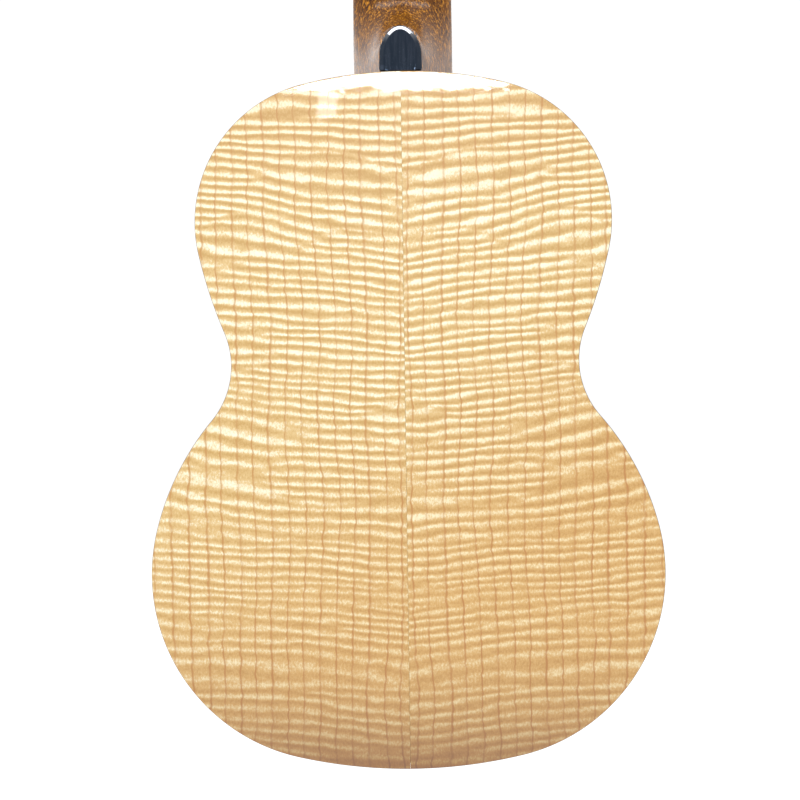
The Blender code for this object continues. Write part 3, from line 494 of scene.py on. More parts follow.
def side_maple():
    """The sides' grain runs round the rim, which the mesh carries as its grain attribute."""
    f = Finish("flamed_maple_side", Coat_Weight=1.0, Coat_Roughness=0.04, Coat_IOR=1.5)
    grain = f.node("ShaderNodeAttribute", attribute_name="grain").outputs["Vector"]
    parts = f.node("ShaderNodeSeparateXYZ", {"Vector": grain}).outputs
    # the sides carry a fifth of the tail's painted shade
    tone, normal = flamed_maple(f, parts["X"], parts["Y"], 0.85, 0.2, 60.0)
    return f.finish(tone, normal, 0.42)


def spruce(name, coat):
    """Quartersawn spruce: close straight grain along z, with faint cross silk."""
    f = Finish(name, Coat_Weight=coat, Coat_Roughness=0.05)
    vector, parts = f.millimetres()
    across = f.math("ABSOLUTE", parts["X"])
    plane = f.vector(across, parts["Z"], 0.0)
    sway = f.math("MULTIPLY", f.noise(plane, (0.02, 0.006, 1.0), 1.0), 2.5)
    place = f.math("ADD", across, sway)
    uneven = f.noise(f.vector(place, 0.0, 0.0), (0.2, 1.0, 1.0), 2.0)
    ring = f.math("ADD", f.math("DIVIDE", place, 1.25), f.math("MULTIPLY", uneven, 2.2))
    within = f.math("FRACT", ring)
    late = f.math("MULTIPLY", f.ramp(within, 0.35, 0.9), f.ramp(within, 0.93, 1.0, 1.0, 0.0))
    tone = f.mix(f.noise(plane, (0.03, 0.006, 7.0), 1.0), rgb(212, 170, 106), rgb(224, 186, 124))
    tone = f.mix(f.math("MULTIPLY", late, 0.7), tone, rgb(166, 112, 58))
    silk = f.ramp(f.noise(plane, (0.35, 0.08, 3.0), 3.0, 0.7), 0.5, 0.75)
    tone = f.mix(f.math("MULTIPLY", silk, 0.16), tone, rgb(255, 232, 186))
    fibre = f.noise(plane, (4.0, 0.12, 5.0), 2.0, 0.7)
    return f.finish(tone, f.bump(f.math("ADD", late, fibre), 0.00004), 0.45)


def mahogany(name, coat):
    """Dark stained mahogany: golden flecks and dark open pores, as dashes along z."""
    f = Finish(name, Coat_Weight=coat, Coat_Roughness=0.13, Coat_IOR=1.33)
    f.set(f.shader.inputs["Specular IOR Level"], 0.02)
    vector, _ = f.millimetres()
    ribbon = f.noise(vector, (0.16, 0.16, 0.02), 2.0)
    flecks = f.noise(vector, (1.1, 1.1, 0.24), 3.0, 0.75)
    pores = f.noise(vector, (1.8, 1.8, 0.28), 2.0, 0.75)
    tone = f.mix(ribbon, (0.078, 0.023, 0.001, 1), (0.16, 0.053, 0.002, 1))
    tone = f.mix(f.ramp(flecks, 0.5, 0.62), tone, (0.50, 0.205, 0.016, 1))
    pore = f.ramp(pores, 0.5, 0.36)
    tone = f.mix(f.math("MULTIPLY", pore, 0.9), tone, (0.022, 0.006, 0.001, 1))
    f.set(f.shader.inputs["Coat Normal"], f.bump(pores, 0.00006))
    return f.finish(tone, f.bump(f.math("SUBTRACT", flecks, pore), 0.0001), 0.4)


def ebony_finish():
    """Polished ebony. A blue specular tint dims its gloss as painted reflection of a dark bluish
    room, and the coat only where it faces up is a painted highlight: only the top chamfer catches
    the ceiling lamp.
    """
    # painted reflection: the blue specular tint stands for the dark bluish room; the coat's index
    # of 2.0 brightens the highlight
    f = Finish("ebony", Specular_Tint=(0.44, 0.62, 0.93, 1), Coat_Roughness=0.04, Coat_IOR=2.0)
    vector, _ = f.millimetres()
    streak = f.noise(vector, (0.9, 0.9, 0.06), 3.0, 0.6)
    fleck = f.noise(vector, (0.8, 0.8, 0.8), 3.0, 0.7)
    tone = f.mix(f.ramp(streak, 0.35, 0.7), (0.002, 0.003, 0.005, 1), (0.010, 0.011, 0.014, 1))
    tone = f.mix(f.ramp(fleck, 0.6, 0.72, 0.0, 0.5), tone, (0.03, 0.035, 0.045, 1))
    # painted highlight: the coat only where the surface faces up
    facing = f.node("ShaderNodeNewGeometry").outputs["Normal"]
    facing = f.node("ShaderNodeSeparateXYZ", {"Vector": facing}).outputs["Z"]
    f.set(f.shader.inputs["Coat Weight"], f.ramp(facing, 0.25, 0.45))
    return f.finish(tone, f.bump(fleck, 0.00001), f.ramp(streak, 0.3, 0.7, 0.03, 0.06))


def dark_wood(name, dark, light, coat, roughness, grain=(1.2, 1.2, 0.05)):
    """Rosewood and stained ebony: dark streaks along z, with open pores."""
    f = Finish(name, Coat_Weight=coat, Coat_Roughness=0.08, Coat_IOR=1.4, Specular_IOR_Level=0.2)
    vector, _ = f.millimetres()
    streak = f.noise(vector, grain, 3.0, 0.6)
    pores = f.noise(vector, tuple(g * 4 for g in grain), 2.0, 0.7)
    tone = f.mix(f.ramp(streak, 0.35, 0.65), dark, light)
    pore = f.ramp(pores, 0.4, 0.28)
    tone = f.mix(f.math("MULTIPLY", pore, 0.7), tone, tuple(c * 0.35 for c in dark[:3]) + (1,))
    return f.finish(tone, f.bump(pore, -0.00005), roughness)


def bare_wood(name, light, dark):
    """Unfinished wood, as inside the box."""
    f = Finish(name)
    vector, _ = f.millimetres()
    streak = f.noise(vector, (1.4, 1.4, 1.4), 3.0, 0.6)
    tone = f.mix(streak, dark, light)
    return f.finish(tone, f.bump(streak, 0.0001), 0.75)


def bone_finish():
    """Bone, a little translucent, with faint darker specks."""
    f = Finish("bone", Subsurface_Weight=0.15, Subsurface_Scale=0.002, Coat_Weight=0.3)
    vector, _ = f.millimetres()
    cloud = f.noise(vector, (0.3, 0.3, 0.3), 3.0)
    tone = f.mix(cloud, rgb(232, 222, 196), rgb(250, 245, 228))
    speck = f.ramp(f.noise(vector, (4.0, 1.2, 4.0), 1.0), 0.36, 0.28)
    tone = f.mix(f.math("MULTIPLY", speck, 0.3), tone, rgb(196, 176, 140))
    return f.finish(tone, None, 0.3)


def metal(name, colour, roughness, brushed=0.0):
    """Metal with smudges, and with brushed lines this deep in mm."""
    f = Finish(name, Metallic=1.0)
    vector, _ = f.millimetres()
    smudge = f.noise(vector, (0.6, 0.6, 0.6), 3.0)
    rough = f.ramp(smudge, 0.3, 0.7, roughness * 0.75, roughness * 1.35)
    normal = None
    if brushed:
        lines = f.noise(vector, (0.4, 0.4, 14.0), 2.0)
        normal = f.bump(lines, brushed * MM)
    return f.finish(colour, normal, rough)


def plastic(name, colour, roughness):
    """Moulded plastic with a faint grain."""
    f = Finish(name, Coat_Weight=0.3, Coat_Roughness=0.1, Coat_IOR=1.4, Specular_IOR_Level=0.25)
    vector, _ = f.millimetres()
    grain = f.noise(vector, (1.5, 1.5, 1.5), 3.0)
    tone = f.mix(grain, colour, tuple(min(1, c * 1.25) for c in colour[:3]) + (1,))
    return f.finish(tone, f.bump(grain, 0.00001), roughness)


def nylon_finish():
    """Clear nylon with a faint cloudiness along each string."""
    f = Finish("clear_nylon", Transmission_Weight=0.35, IOR=1.5)
    vector, _ = f.millimetres()
    cloud = f.noise(vector, (0.5, 0.5, 0.05), 2.0)
    return f.finish(f.mix(cloud, rgb(225, 220, 205), rgb(239, 236, 223)), None, 0.2)


def rosette_finish():
    """Rings of light and dark wood with a band of small blocks between."""
    f = Finish("rosette_rings", Coat_Weight=0.8, Coat_Roughness=0.06)
    _, parts = f.millimetres()
    squares = [f.math("POWER", parts[axis], 2.0) for axis in ("X", "Z")]
    radius = f.math("SQRT", f.math("ADD", *squares))
    turn = f.math("ARCTAN2", parts["X"], parts["Z"])
    blocks = f.math("GREATER_THAN", f.math("SINE", f.math("MULTIPLY", turn, 72.0)), 0.0)
    tone = f.mix(blocks, rgb(70, 34, 18), rgb(196, 140, 84))
    dark, pale = rgb(28, 20, 18), rgb(232, 214, 176)
    bands = ((30.0, 30.7, dark), (30.7, 31.2, pale), (31.2, 31.6, dark))
    bands += ((33.9, 34.3, dark), (34.3, 34.7, pale), (34.7, 35.6, dark))
    for low, high, colour in bands:
        above = f.math("GREATER_THAN", radius, low)
        below = f.math("LESS_THAN", radius, high)
        tone = f.mix(f.math("MULTIPLY", above, below), tone, colour)
    return f.finish(tone, None, 0.4)


# ---------------------------------------------------------------- body


def plate_ring(offset, y_at, hole=None):
    """The half plate's outline this far in from its edge, at the y that y_at gives."""
    seam, steps = 0.04 * MM, 48
    points = [(max(x, seam), z) for x, z in half_rim(offset)]
    if hole:
        for k in range(steps + 1):
            a = math.pi / 2 - math.pi * k / steps
            x = max((hole + offset) * math.cos(a), seam)
            points.append((x, SOUNDHOLE_Z + (hole + offset) * math.sin(a)))
    return [(x, y_at(z), z) for x, z in points]


def mirror(rings):
    """The same rings on the left side."""
    return [[(-x, y, z) for x, y, z in ring] for ring in rings]


def make_plates(top_wood, back_wood):
    """Soundboard and back, each in two halves with rounded outer edges."""
    edge = 0.5 * MM
    top_share = 0.6  # the soundboard's edge is less rounded than the back's
    steps = [math.radians(a) for a in (0, 18, 36, 54, 72, 90)]
    curve = [(edge * (1 - math.cos(a)), edge * (1 - math.sin(a))) for a in steps]
    back_rings = [plate_ring(0, lambda z: back_y(z) - PLATE_THICK + 0.02 * MM)]
    back_rings += [plate_ring(o, lambda z, d=d: back_y(z) - d) for o, d in curve]
    back_rings.append(plate_ring(edge + 0.12 * MM, back_y))
    curve = [(o * top_share, d * top_share) for o, d in curve]
    top_rings = [plate_ring(0, lambda z: PLATE_THICK - 0.02 * MM, SOUNDHOLE_RADIUS)]
    top_rings += [plate_ring(o, lambda z, d=d: d, SOUNDHOLE_RADIUS) for o, d in curve]
    top_rings.append(plate_ring(edge + 1 * MM, lambda z: 0, SOUNDHOLE_RADIUS))
    for side, turn in (("right", list), ("left", mirror)):
        back, top = loft(turn(back_rings)), loft(turn(top_rings))
        piece(f"back_plate_{side}", back, back_wood, replaces=[f"back_{side}"])
        piece(f"top_plate_{side}", top, top_wood, replaces=[f"soundboard_{side}"])


def make_sides(wood):
    """Bent sides. The grain attribute holds the depth and the distance round the rim."""
    outer, inner = half_rim(0), half_rim(SIDE_THICK)
    lengths = [0.0]
    for a, b in zip(outer, outer[1:]):
        lengths.append(lengths[-1] + math.dist(a, b))
    near = PLATE_THICK - 0.01 * MM
    across_start, sides_apart = 40, 200
    for side, sign in (("right", 1), ("left", -1)):
        bm = bmesh.new()
        grain = bm.verts.layers.float_vector.new("grain")
        rows = []
        for (x, z), (ix, iz), along in zip(outer, inner, lengths):
            far, inner_far = back_y(z) - PLATE_THICK, back_y(iz) - PLATE_THICK
            row = []
            for px, py, pz in ((x, near, z), (x, far, z), (ix, inner_far, iz), (ix, near, iz)):
                v = bm.verts.new((sign * max(px, 0.03 * MM), py, pz))
                v[grain] = (py / MM + across_start, along / MM + sides_apart * sign, 0)
                row.append(v)
            rows.append(row)
        for a, b in zip(rows, rows[1:]):
            for i in range(4):
                j = (i + 1) % 4
                bm.faces.new((a[i], a[j], b[j], b[i]))
        bm.faces.new(rows[0])
        bm.faces.new(rows[-1])
        piece(f"rim_{side}", bm, wood, replaces=[f"side_{side}"])


def make_rosette(finish):
    """A thin ring that stands just proud of the soundboard."""
    ring = [(30.5, -0.03), (35.0, -0.03), (35.0, 0.6), (30.5, 0.6)]
    bm = turned([(r * MM, y * MM) for r, y in ring], 128)
    where = Matrix.Translation((0, 0, SOUNDHOLE_Z))
    piece("rosette_rings", bm, finish, replaces=["rosette"], place=where)


# ---------------------------------------------------------------- neck and headstock


def section(half_at, round_deep, squareness, deep, steps=20, wall=4):
    """Half section of the neck from its back: (half width, distance in) pairs."""
    points = []
    for k in range(steps + 1):
        a = math.pi / 2 * k / steps
        share = math.sin(a) ** (2 / squareness)
        t = round_deep * (1 - math.cos(a) ** (2 / squareness))
        points.append((half_at(t) * share, t))
    for k in range(1, wall + 1):
        t = round_deep + (deep - round_deep) * k / wall
        points.append((half_at(t), t))
    return points


def heel_half(y):
    """Half width of the heel at the body, this deep behind the soundboard."""
    narrow, flare = 58 * MM, 54 * MM
    share = min(1.0, max(0.0, (narrow - y) / flare))
    return HEEL_CAP_HALF + (JOINT_HALF - HEEL_CAP_HALF) * share


# Up the shaft: mm from the nut, mm deeper than the thin part, squareness of the section
SHAFT_STATIONS = ((-130, 0.9, 2.2), (-90, 0.5, 2.2), (-60, 0, 2.2), (-34, 0, 2.2))
SHAFT_STATIONS += ((-22, 0.1, 2.4), (-15, 0.4, 2.9), (-9, 0.9, 3.8), (-4, 1.5, 5.5), (-1, 1.95, 8))


def heel_rings():
    """Sections that fan round a pivot, from the heel's end to the shaft."""
    pivot_y, pivot_s = 59 * MM, 49 * MM
    along_y, along_s = pivot_y - SHAFT_THICK, pivot_s - HEEL_CAP_LONG
    fans = 30
    rings = []
    for i in range(fans + 1):
        share = i / fans
        lean = math.pi / 2 * (1 - share)
        down, inward = math.sin(lean), math.cos(lean)
        start = 1 / math.sqrt((inward / along_y) ** 2 + (down / along_s) ** 2)
        to_joint = (pivot_s + 1.6 * MM) / down if down > 1e-6 else math.inf
        to_face = pivot_y / inward if inward > 1e-6 else math.inf
        deep = min(to_joint, to_face) - start
        bulge = math.sin(math.pi * share)
        round_deep = min(deep - 0.8 * MM, (9.5 + 2.2 * share + 10 * bulge) * MM)

        def half_at(t):
            return heel_half(pivot_y - (start + t) * inward)

        ring = []
        for half, t in section(half_at, round_deep, 2.15 + 0.1 * bulge, deep):
            y = pivot_y - (start + t) * inward
            z = JOINT_Z + pivot_s - (start + t) * down
            if i == 0:
                y = back_y(z) - HEEL_CAP_THICK - 0.02 * MM
            ring.append((half, y, z))
        rings.append(ring)
    return rings


def neck_rings():
    """Sections from the heel's end, up the shaft and into the headstock."""
    rings = heel_rings()
    for z, deeper, squareness in SHAFT_STATIONS:
        half, deep = neck_half(z * MM), SHAFT_THIN + deeper * MM
        ring = section(lambda t: half, deep - 0.8 * MM, squareness, deep)
        rings.append([(h, deep - t, z * MM) for h, t in ring])
    return [mirrored_ring(ring) for ring in rings]


def mirrored_ring(half_ring):
    """A whole section from its right half, which starts on the back's centre line."""
    left = [(-x, y, z) for x, y, z in reversed(half_ring[1:])]
    return left + list(half_ring)


def head_outline():
    """(half width, height) of the headstock from the nut to its tip, in mm."""
    cheek = [(17.4, 0), (17.5, 2), (17.9, 5), (18.9, 8), (20.4, 10.6), (22.2, 12.9)]
    cheek += [(24.2, 14.9), (26, 17), (27.3, 19.6), (28, 22.5)]
    side = [(28.4, 26), (29.3, 40), (30.1, 54), (30.8, 68), (31.3, 80), (31.45, 86)]
    side += [(31.3, 89.5), (30.6, 92.4), (29.3, 94.9), (27.4, 96.5), (25, 97.3)]
    tip = [(22, 97.6), (19, 97.95), (16.5, 98.5), (14, 99.4), (11.6, 100.7), (9.4, 102.1)]
    tip += [(7.2, 103.5), (5, 104.7), (2.8, 105.5), (0.6, 105.9)]
    return cheek + side + tip


def head_rings(near, far, squareness):
    """Rounded sections of the headstock between two depths."""
    rings = []
    for half, z in head_outline():
        half, z = half * MM, z * MM
        ring = section(lambda t: half, (far - near) - 0.8 * MM, squareness, far - near)
        rings.append(mirrored_ring([(h, far - t, z) for h, t in ring]))
    return rings


def make_neck(wood, veneer_wood, cap_wood):
    """Heel, shaft and headstock as one piece, with the headstock's veneer and the cap."""
    rings = neck_rings()
    for ring in head_rings(VENEER_THICK + 0.02 * MM, HEAD_THICK, 12)[1:]:
        rings.append([tuple(HEAD @ Vector(p)) for p in ring])
    piece("neck_and_heel", loft(rings), wood, replaces=["neck"])
    outline = [(h * MM, max(z, 0.3) * MM) for h, z in head_outline()]
    tip = outline[-1][1]

    def flat_ring(inset, y):
        right = [(max(h - inset, 0.1 * MM), y, min(z, tip - inset)) for h, z in outline]
        return right + [(-x, y, z) for x, y, z in reversed(right)]

    rings = [flat_ring(0, VENEER_THICK), flat_ring(0, 0.3 * MM), flat_ring(0.1 * MM, 0.09 * MM)]
    rings += [flat_ring(0.3 * MM, 0), flat_ring(0.9 * MM, 0)]
    piece("head_face", loft(rings), veneer_wood, replaces=["head_veneer"], place=HEAD)
    make_heel_cap(cap_wood)


# The cap's edge in mm: how far in, how far below the face
CAP_CHAMFER = ((0.0, 1.5), (0.12, 1.32), (0.4, 1.06), (0.48, 1.0))
CAP_CHAMFER += ((1.68, 0.124), (1.78, 0.05), (1.95, 0.0), (2.8, 0.0))


def make_heel_cap(wood):
    """A polished cap, pointed like an arch, with a broad chamfer round its face. s runs from
    the joint to the tip, t from the tip to the joint."""
    long = HEEL_CAP_LONG - 0.15 * MM
    tip_half, flare = 8.2 * MM, 0.45 * MM
    arch_long, arch_squareness = 11.6 * MM, 1.9
    face_fall = 0.035

    def ring(inset, below):
        def half_at(t):
            return tip_half + flare * t / long - inset

        deep = long - inset
        points = section(half_at, arch_long - inset, arch_squareness, deep - 1 * MM)
        half = half_at(deep)
        points += [(half - 0.25 * MM, deep - 0.3 * MM), (half - 0.9 * MM, deep)]
        points = [(h, HEEL_CAP_LONG - inset - t) for h, t in points]
        whole = [(-h, s) for h, s in reversed(points[1:])] + points
        fall = face_fall if below < HEEL_CAP_THICK else 0.0
        return [(x, back_y(JOINT_Z + s) - below - fall * s, JOINT_Z + s) for x, s in whole]

    rings = [ring(0, HEEL_CAP_THICK)]
    rings += [ring(inset * MM, below * MM) for inset, below in CAP_CHAMFER]
    piece("heel_cap_polished", loft(rings), wood, replaces=["heel_cap"])


def make_fingerboard(wood):
    """The board, with its top edges rounded over."""
    corner, middle = 0.5 * MM, 0.15 * MM
    rings = []
    for z in (-0.3 * MM, -fret_distance(FRETS) - 4 * MM):
        half = neck_half(z)
        right = [(half, -0.02 * MM), (half, BOARD_TOP + corner)]
        right += [(half - middle, BOARD_TOP + middle), (half - corner, BOARD_TOP)]
        rings.append([(x, y, z) for x, y in right] + [(-x, y, z) for x, y in reversed(right)])
    piece("fingerboard_board", loft(rings), wood, replaces=["fingerboard"])


def make_frets(wire):
    """Frets with bevelled ends, pressed into the board."""
    half_wide, sunk, steps = 0.95 * MM, 0.05 * MM, 8
    for n in range(1, FRETS + 1):
        z = -fret_distance(n)
        half = neck_half(z) - 0.1 * MM
        ends = [(-half, 0.15), (-half + 0.5 * MM, 0.75), (-half + 1.0 * MM, 0.9)]
        rings = []
        for x, tall in ends + [(-x, tall) for x, tall in reversed(ends)]:
            arch = []
            for k in range(steps + 1):
                a = math.pi * k / steps
                y = BOARD_TOP + sunk - tall * MM * math.sin(a)
                arch.append((x, y, z + half_wide * math.cos(a)))
            rings.append(arch)
        piece(f"fret_{n}", loft(rings), wire)


def make_dots(pearl):
    """Position dots on the board's face, and a side dot on its edge for each."""
    face_dot = [(0, -0.02), (2.4, -0.02), (2.5, 0.3), (0, 0.3)]
    side_dot = [(0, 0.03), (0.8, 0.03), (0.85, -0.5), (0, -0.5)]
    for n in (5, 7, 10, 12):
        z = -(fret_distance(n) + fret_distance(n - 1)) / 2
        places = [-7 * MM, 7 * MM] if n == 12 else [0.0]
        for i, x in enumerate(places):
            disc = turned([(r * MM, y * MM) for r, y in face_dot], 40)
            where = Matrix.Translation((x, BOARD_TOP, z))
            piece(f"position_dot_{n}_{i + 1}", disc, pearl, place=where)
        disc = turned([(r * MM, x * MM) for r, x in side_dot], 24, "X")
        where = Matrix.Translation((-neck_half(z), BOARD_TOP / 2, z))
        where = where @ Matrix.Rotation(math.pi, 4, "Z")
        piece(f"side_dot_{n}", disc, pearl, place=where)


# ---------------------------------------------------------------- strings


# Name and radius in mm
STRINGS = (("g", 0.32), ("c", 0.42), ("e", 0.36), ("a", 0.30))


def string_route(i, radius):
    """(point, thickness factor) from the knot behind the bridge to the turns on the post."""
    x = (i - 1.5) * 13.5 * MM
    knot_z = SADDLE_Z - 11.4 * MM
    over = -7 * MM - radius - 0.25 * MM
    saddle_y, nut_y = -10.3 * MM, -6.6 * MM
    knot = 1.25 * MM / radius
    route = [
        ((x, -1.5 * MM, knot_z), 0.6 * knot),
        ((x, -2.1 * MM, knot_z), knot),
        ((x, -3.0 * MM, knot_z), knot),
        ((x, -3.6 * MM, knot_z), 1),
        ((x, over + 1.0 * MM, knot_z + 0.1 * MM), 1),
        ((x, over + 0.2 * MM, knot_z + 0.5 * MM), 1),
        ((x, over, knot_z + 1.3 * MM), 1),
        ((x, over - 0.3 * MM, knot_z + 3.5 * MM), 1),
        ((x, saddle_y + 0.25 * MM, SADDLE_Z - 1.2 * MM), 1),
        ((x, saddle_y, SADDLE_Z), 1),
    ]
    x = (i - 1.5) * 9.5 * MM
    route += [((x, nut_y, 0.6 * MM), 1), ((x, nut_y + 0.25 * MM, 2.2 * MM), 1)]
    side, post_z = POSTS[i]
    winding = 3.35 * MM + radius
    pitch = 2 * radius + 0.25 * MM
    turns, per_turn = 2.5, 32
    for k in range(int(turns * per_turn) + 1):
        a = 2 * math.pi * k / per_turn
        spot = (
            side * (POST_X - winding * math.cos(a)),
            -2.9 * MM - pitch * k / per_turn,
            post_z + winding * math.sin(a),
        )
        route.append((HEAD @ Vector(spot), 1))
    return route


def make_strings(finish):
    """Each string is a round curve, so its knot can be thicker than the rest."""
    for i, (name, radius) in enumerate(STRINGS):
        curve = bpy.data.curves.new(f"nylon_{name}", "CURVE")
        curve.dimensions = "3D"
        curve.bevel_depth = radius * MM
        curve.bevel_resolution = 3
        curve.use_fill_caps = True
        route = string_route(i, radius * MM)
        line = curve.splines.new("POLY")
        line.points.add(len(route) - 1)
        for point, (where, factor) in zip(line.points, route):
            point.co = (*where, 1)
            point.radius = factor
        line.use_smooth = True
        curve.materials.append(finish)
        made = bpy.data.objects.new(f"nylon_{name}", curve)
        bpy.context.scene.collection.objects.link(made)
        made.matrix_world = PLACE
        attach(made, "instrument")
        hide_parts(f"string_{name}")


# ---------------------------------------------------------------- tuners


# Outlines round the post, in mm: radius, depth behind the headstock's face
POST_OUTLINE = [(0, -9.5), (2.4, -9.5), (3.0, -8.9), (3.0, -7.6), (2.75, -7.3), (2.6, -5.0)]
POST_OUTLINE += [(2.75, -2.6), (3.0, -2.2), (3.0, 15.3), (2.2, 15.3), (2.2, 19.6), (0, 19.6)]
BUSHING_OUTLINE = [(3.1, -1.4), (5.0, -1.4), (5.4, -1.0), (5.4, 0), (4.2, 0)]
BUSHING_OUTLINE += [(4.2, 5.5), (3.1, 5.5)]
PLATE_SCREWS_Z = (8.2 * MM, -12.6 * MM)


def smooth_share(t):
    """0 to 1 with a slow start and end."""
    return t * t * (3 - 2 * t)


def worm_mesh():
    """Worm and shaft round x, as a cam that turns once per thread pitch."""
    steps = 32
    foot, crest = WORM_PITCH_RADIUS - 0.7 * MM, WORM_PITCH_RADIUS + 0.5 * MM
    cam = []
    for i in range(steps):
        share = abs((i / steps + 0.5) % 1 - 0.5)
        rise = min(1.0, max(0.0, (0.3 - share) / 0.2))
        cam.append(foot + (crest - foot) * smooth_share(rise))

    def ring(x, radii):
        turns = [2 * math.pi * i / steps for i in range(steps)]
        return [(x, r * math.sin(a), -r * math.cos(a)) for a, r in zip(turns, radii)]

    tip, shaft = [1.1 * MM] * steps, [1.4 * MM] * steps
    start = -2 * THREAD_PITCH
    rings = [ring(-7.6 * MM, tip), ring(-7.3 * MM, shaft), ring(start, shaft)]
    for k in range(4 * steps + 1):
        radii = [cam[(i - k) % steps] for i in range(steps)]
        rings.append(ring(start + k * THREAD_PITCH / steps, radii))
    return loft(rings + [ring(-start, shaft), ring(26 * MM, shaft)])


def button_mesh():
    """A flattened pear-shaped button with a collar, round x."""
    start, end = 17 * MM, 31 * MM
    profile = [(0, 0), (2.5, 0), (2.8, 0.4), (2.8, 1.2), (2.5, 1.7), (2.7, 2.3), (3.6, 3.4)]
    profile += [(5.0, 4.9), (6.2, 6.4), (6.9, 8.0), (7.0, 9.4), (6.6, 11.0), (5.7, 12.4)]
    profile += [(4.2, 13.4), (2.3, 13.9), (0, 14)]
    scale = (end - start) / 14
    bm = turned([(r * MM, start + h * scale) for r, h in profile], 48, "X")
    for v in bm.verts:
        share = min(1.0, 3.0 * MM / max(3.0 * MM, v.co.yz.length))
        v.co.y *= 0.5 + 0.5 * share
    return bm


def make_tuner(n, side, post_z, steel, brass, black, dark):
    """One tuner. The post turns with its gear, and the button with its worm."""
    face = HEAD_THICK + TUNER_PLATE_LIFT + TUNER_PLATE_THICK
    gear_y = face + 3.2 * MM
    drop = GEAR_PITCH_RADIUS + WORM_PITCH_RADIUS
    at_post = HEAD @ Matrix.Translation((side * POST_X, 0, post_z))
    at_worm = HEAD @ Matrix.Translation((side * POST_X, gear_y, post_z - drop))
    if side < 0:
        at_worm = at_worm @ Matrix.Rotation(math.pi, 4, "Z")
    post, button = f"post_{n}", f"button_{n}"

    bm = turned(rounded([(r * MM, y * MM) for r, y in POST_OUTLINE], 0.3 * MM, 3), 40)
    shaft = piece(f"post_shaft_{n}", bm, steel, post, [f"tuner_post_{n}"], at_post)
    cut_eye(shaft, at_post, n)
    where = at_post @ Matrix.Translation((0, 19.7 * MM, 0))
    screw(f"gear_screw_{n}", 2.9, 0.9, where, steel, dark, post)
    dress(f"tuner_gear_{n}", brass, 0.12 * MM)

    bm, node = worm_mesh(), f"tuner_worm_{n}"
    piece(f"worm_shaft_{n}", bm, steel, button, [node], at_worm)
    bm, node = button_mesh(), f"tuner_button_{n}"
    piece(f"button_pear_{n}", bm, black, button, [node], at_worm)

    bm, node = turned([(r * MM, y * MM) for r, y in BUSHING_OUTLINE]), f"tuner_bushing_{n}"
    piece(f"bushing_{n}", bm, steel, replaces=[node], place=at_post)
    dress(f"tuner_plate_{n}", steel, 0.2 * MM)
    for m, z in enumerate(PLATE_SCREWS_Z):
        where = at_post @ Matrix.Translation((0, face, z))
        screw(f"plate_screw_{n}_{m + 1}", 1.8, 0.8, where, steel, dark, "instrument")


def cut_eye(shaft, at_post, n):
    """The hole that takes the string's end."""
    radius, half = 0.8 * MM, 5 * MM
    bm = turned([(0, -half), (radius, -half), (radius, half), (0, half)], 20, "X")
    mesh = bpy.data.meshes.new(f"eye_{n}")
    bm.to_mesh(mesh)
    bm.free()
    cutter = bpy.data.objects.new(f"eye_{n}", mesh)
    bpy.context.scene.collection.objects.link(cutter)
    cutter.matrix_world = PLACE @ at_post @ Matrix.Translation((0, -6.4 * MM, 0))
    bpy.context.view_layer.update()
    modifier = shaft.modifiers.new("eye", "BOOLEAN")
    modifier.operation = "DIFFERENCE"
    modifier.object = cutter
    with bpy.context.temp_override(object=shaft, active_object=shaft):
        bpy.ops.object.modifier_apply(modifier="eye")
    bpy.data.objects.remove(cutter)


def screw(name, radius, tall, where, steel, dark, body):
    """A domed slotted screw head that stands towards the back. Its sizes are in mm."""
    rim = 0.3 * tall
    profile = [(0, 0), (radius, 0), (radius, rim)]
    for a in (0.4, 0.8, 1.2):
        profile.append((radius * math.cos(a), rim + (tall - rim) * math.sin(a)))
    profile.append((0, tall))
    bm = turned([(r * MM, h * MM) for r, h in profile], 32)
    piece(name, bm, steel, body, place=where)
    high, half = (tall + 0.02) * MM, radius * 0.8 * MM
    slot = box_mesh((-half, high - 0.12 * MM, -0.2 * MM), (half, high, 0.2 * MM))
    piece(f"{name}_slot", slot, dark, body, place=where)


# ---------------------------------------------------------------- scene


def area_light(name, where, target, size, power):
    """A rectangular lamp that faces the target."""
    light = bpy.data.lights.new(name, "AREA")
    light.shape = "RECTANGLE"
    light.size, light.size_y = size
    light.energy = power
    made = bpy.data.objects.new(name, light)
    bpy.context.scene.collection.objects.link(made)
    made.location = where
    made.rotation_euler = (Vector(target) - Vector(where)).to_track_quat("-Z", "Y").to_euler()


def make_camera():
    """Square to the sloping back, a touch to one side, and rolled by under a degree. Returns
    the point it aims at and the direction from there to the camera."""
    normal = Vector((0, 1, TAPER)).normalized()
    middle = (TAIL_Z + JOINT_Z) / 2
    target = PLACE @ Vector((CAMERA_AIM_X, back_y(middle), middle + CAMERA_AIM_UP))
    toward = Matrix.Rotation(CAMERA_SWING, 3, "Z") @ normal
    camera = bpy.data.cameras.new("camera")
    camera.lens = CAMERA_LENS
    camera.sensor_width = 36
    camera.clip_start = 0.01
    made = bpy.data.objects.new("camera", camera)
    bpy.context.scene.collection.objects.link(made)
    made.location = target + toward * CAMERA_DISTANCE
    upright = (-toward).to_track_quat("-Z", "Y").to_matrix()
    made.rotation_euler = (upright @ Matrix.Rotation(CAMERA_ROLL, 3, "Z")).to_euler()
    bpy.context.scene.camera = made
    return target, toward


def make_world():
    """White light from all round, seen without a film look."""
    world = bpy.data.worlds.new("studio")
    world.use_nodes = True
    background = world.node_tree.nodes["Background"]
    background.inputs["Color"].default_value = (1, 1, 1, 1)
    background.inputs["Strength"].default_value = 1.0
    bpy.context.scene.world = world
    view = bpy.context.scene.view_settings
    view.view_transform = "Standard"
    view.exposure = 0.1


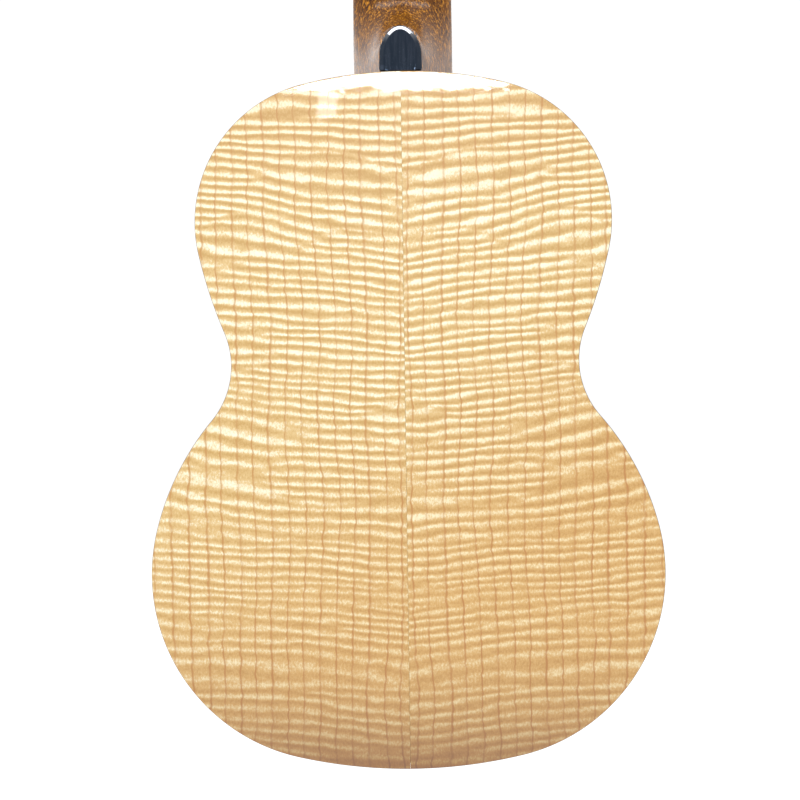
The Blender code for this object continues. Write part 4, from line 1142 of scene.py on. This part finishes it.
def make_floor():
    """A wide pale disc under the hanging instrument."""
    bm = bmesh.new()
    bmesh.ops.create_circle(bm, cap_ends=True, radius=12, segments=64)
    mesh = bpy.data.meshes.new("floor")
    bm.to_mesh(mesh)
    bm.free()
    paper = Finish("pale_floor")
    vector, _ = paper.millimetres()
    grain = paper.noise(vector, (0.02, 0.02, 0.02), 3.0)
    tone = paper.mix(grain, (0.93, 0.93, 0.93, 1), (0.96, 0.96, 0.96, 1))
    mesh.materials.append(paper.finish(tone, None, 0.9))
    floor = bpy.data.objects.new("floor", mesh)
    bpy.context.scene.collection.objects.link(floor)
    floor.location = (0, 0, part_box("back_left")[0].z - 0.12)


def make_lights(target, toward):
    """Lamps above the camera light the top edge, and one over the cap lights its chamfer."""
    up = Vector((0, -toward.z, toward.y))
    # name, how far out from the target, up and to one side, size, power
    lamps = (
        ("strip", CAMERA_DISTANCE, 0.271, 0.03, (0.185, 0.042), 0.95),
        ("small_lamp", CAMERA_DISTANCE, 0.241, 0.0856, (0.014, 0.03), 0.011),
        ("softbox", 0.62, 0.72, 0.12, (0.4, 0.25), 0.5),
    )
    for name, away, high, beside, size, power in lamps:
        where = target + toward * away + up * high + Vector((beside, 0, 0))
        area_light(name, where, target, size, power)
    cap = Vector((0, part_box("heel_cap")[1].y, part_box("heel_cap")[1].z))
    area_light("ceiling", cap + Vector((0, 0.015, 0.75)), cap, (1.3, 0.12), 4)
    area_light("side_window", target + Vector((1.1, 0.7, 0.1)), target, (0.8, 0.8), 1.8)
    area_light("front_fill", target + Vector((0.1, -1.5, 0.9)), target, (1.2, 1.2), 4)


def main():
    """Finishes first, then the pieces that wear them, then the studio."""
    maple = back_maple()
    sides = side_maple()
    top = spruce("spruce_top", 0.9)
    bracing = bare_wood("bracing", rgb(236, 205, 156), rgb(206, 166, 112))
    neck_wood = mahogany("mahogany_neck", 0.6)
    block_wood = bare_wood("block_mahogany", rgb(170, 112, 74), rgb(132, 80, 50))
    ebony = ebony_finish()
    head_wood = dark_wood("head_ebony", rgb(14, 13, 14), rgb(32, 28, 27), 0.8, 0.3)
    rosewood = dark_wood("rosewood", rgb(42, 24, 18), rgb(84, 50, 36), 0.15, 0.45)
    bone = bone_finish()
    steel = metal("nickel", (0.43, 0.42, 0.40, 1), 0.28)
    wire = metal("fret_wire", (0.50, 0.48, 0.44, 1), 0.24)
    brass = metal("gear_brass", (0.52, 0.34, 0.11, 1), 0.3, 0.004)
    black = plastic("button_black", rgb(24, 24, 26), 0.22)
    dark = plastic("slot_shadow", rgb(12, 12, 12), 0.8)
    pearl = plastic("dot_pearl", rgb(226, 224, 216), 0.25)

    make_plates(top, maple)
    make_sides(sides)
    make_rosette(rosette_finish())
    make_neck(neck_wood, head_wood, ebony)
    make_fingerboard(rosewood)
    make_frets(wire)
    make_dots(pearl)
    make_strings(nylon_finish())
    for n, (side, post_z) in enumerate(POSTS):
        make_tuner(n + 1, side, post_z, steel, brass, black, dark)
    dress("nut", bone, 0.35 * MM)
    dress("saddle", bone, 0.2 * MM)
    dress("bridge", rosewood, 0.35 * MM)
    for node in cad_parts:
        if "brace" in node or "lining" in node or node == "back_seam_strip":
            dress(node, bracing)
        elif node in ("neck_block", "tail_block"):
            dress(node, block_wood)
    dress("bridge_plate", maple)
    dress("neck_bolt", steel)
    dress("neck_insert", brass)
    make_world()
    make_floor()
    make_lights(*make_camera())


main()
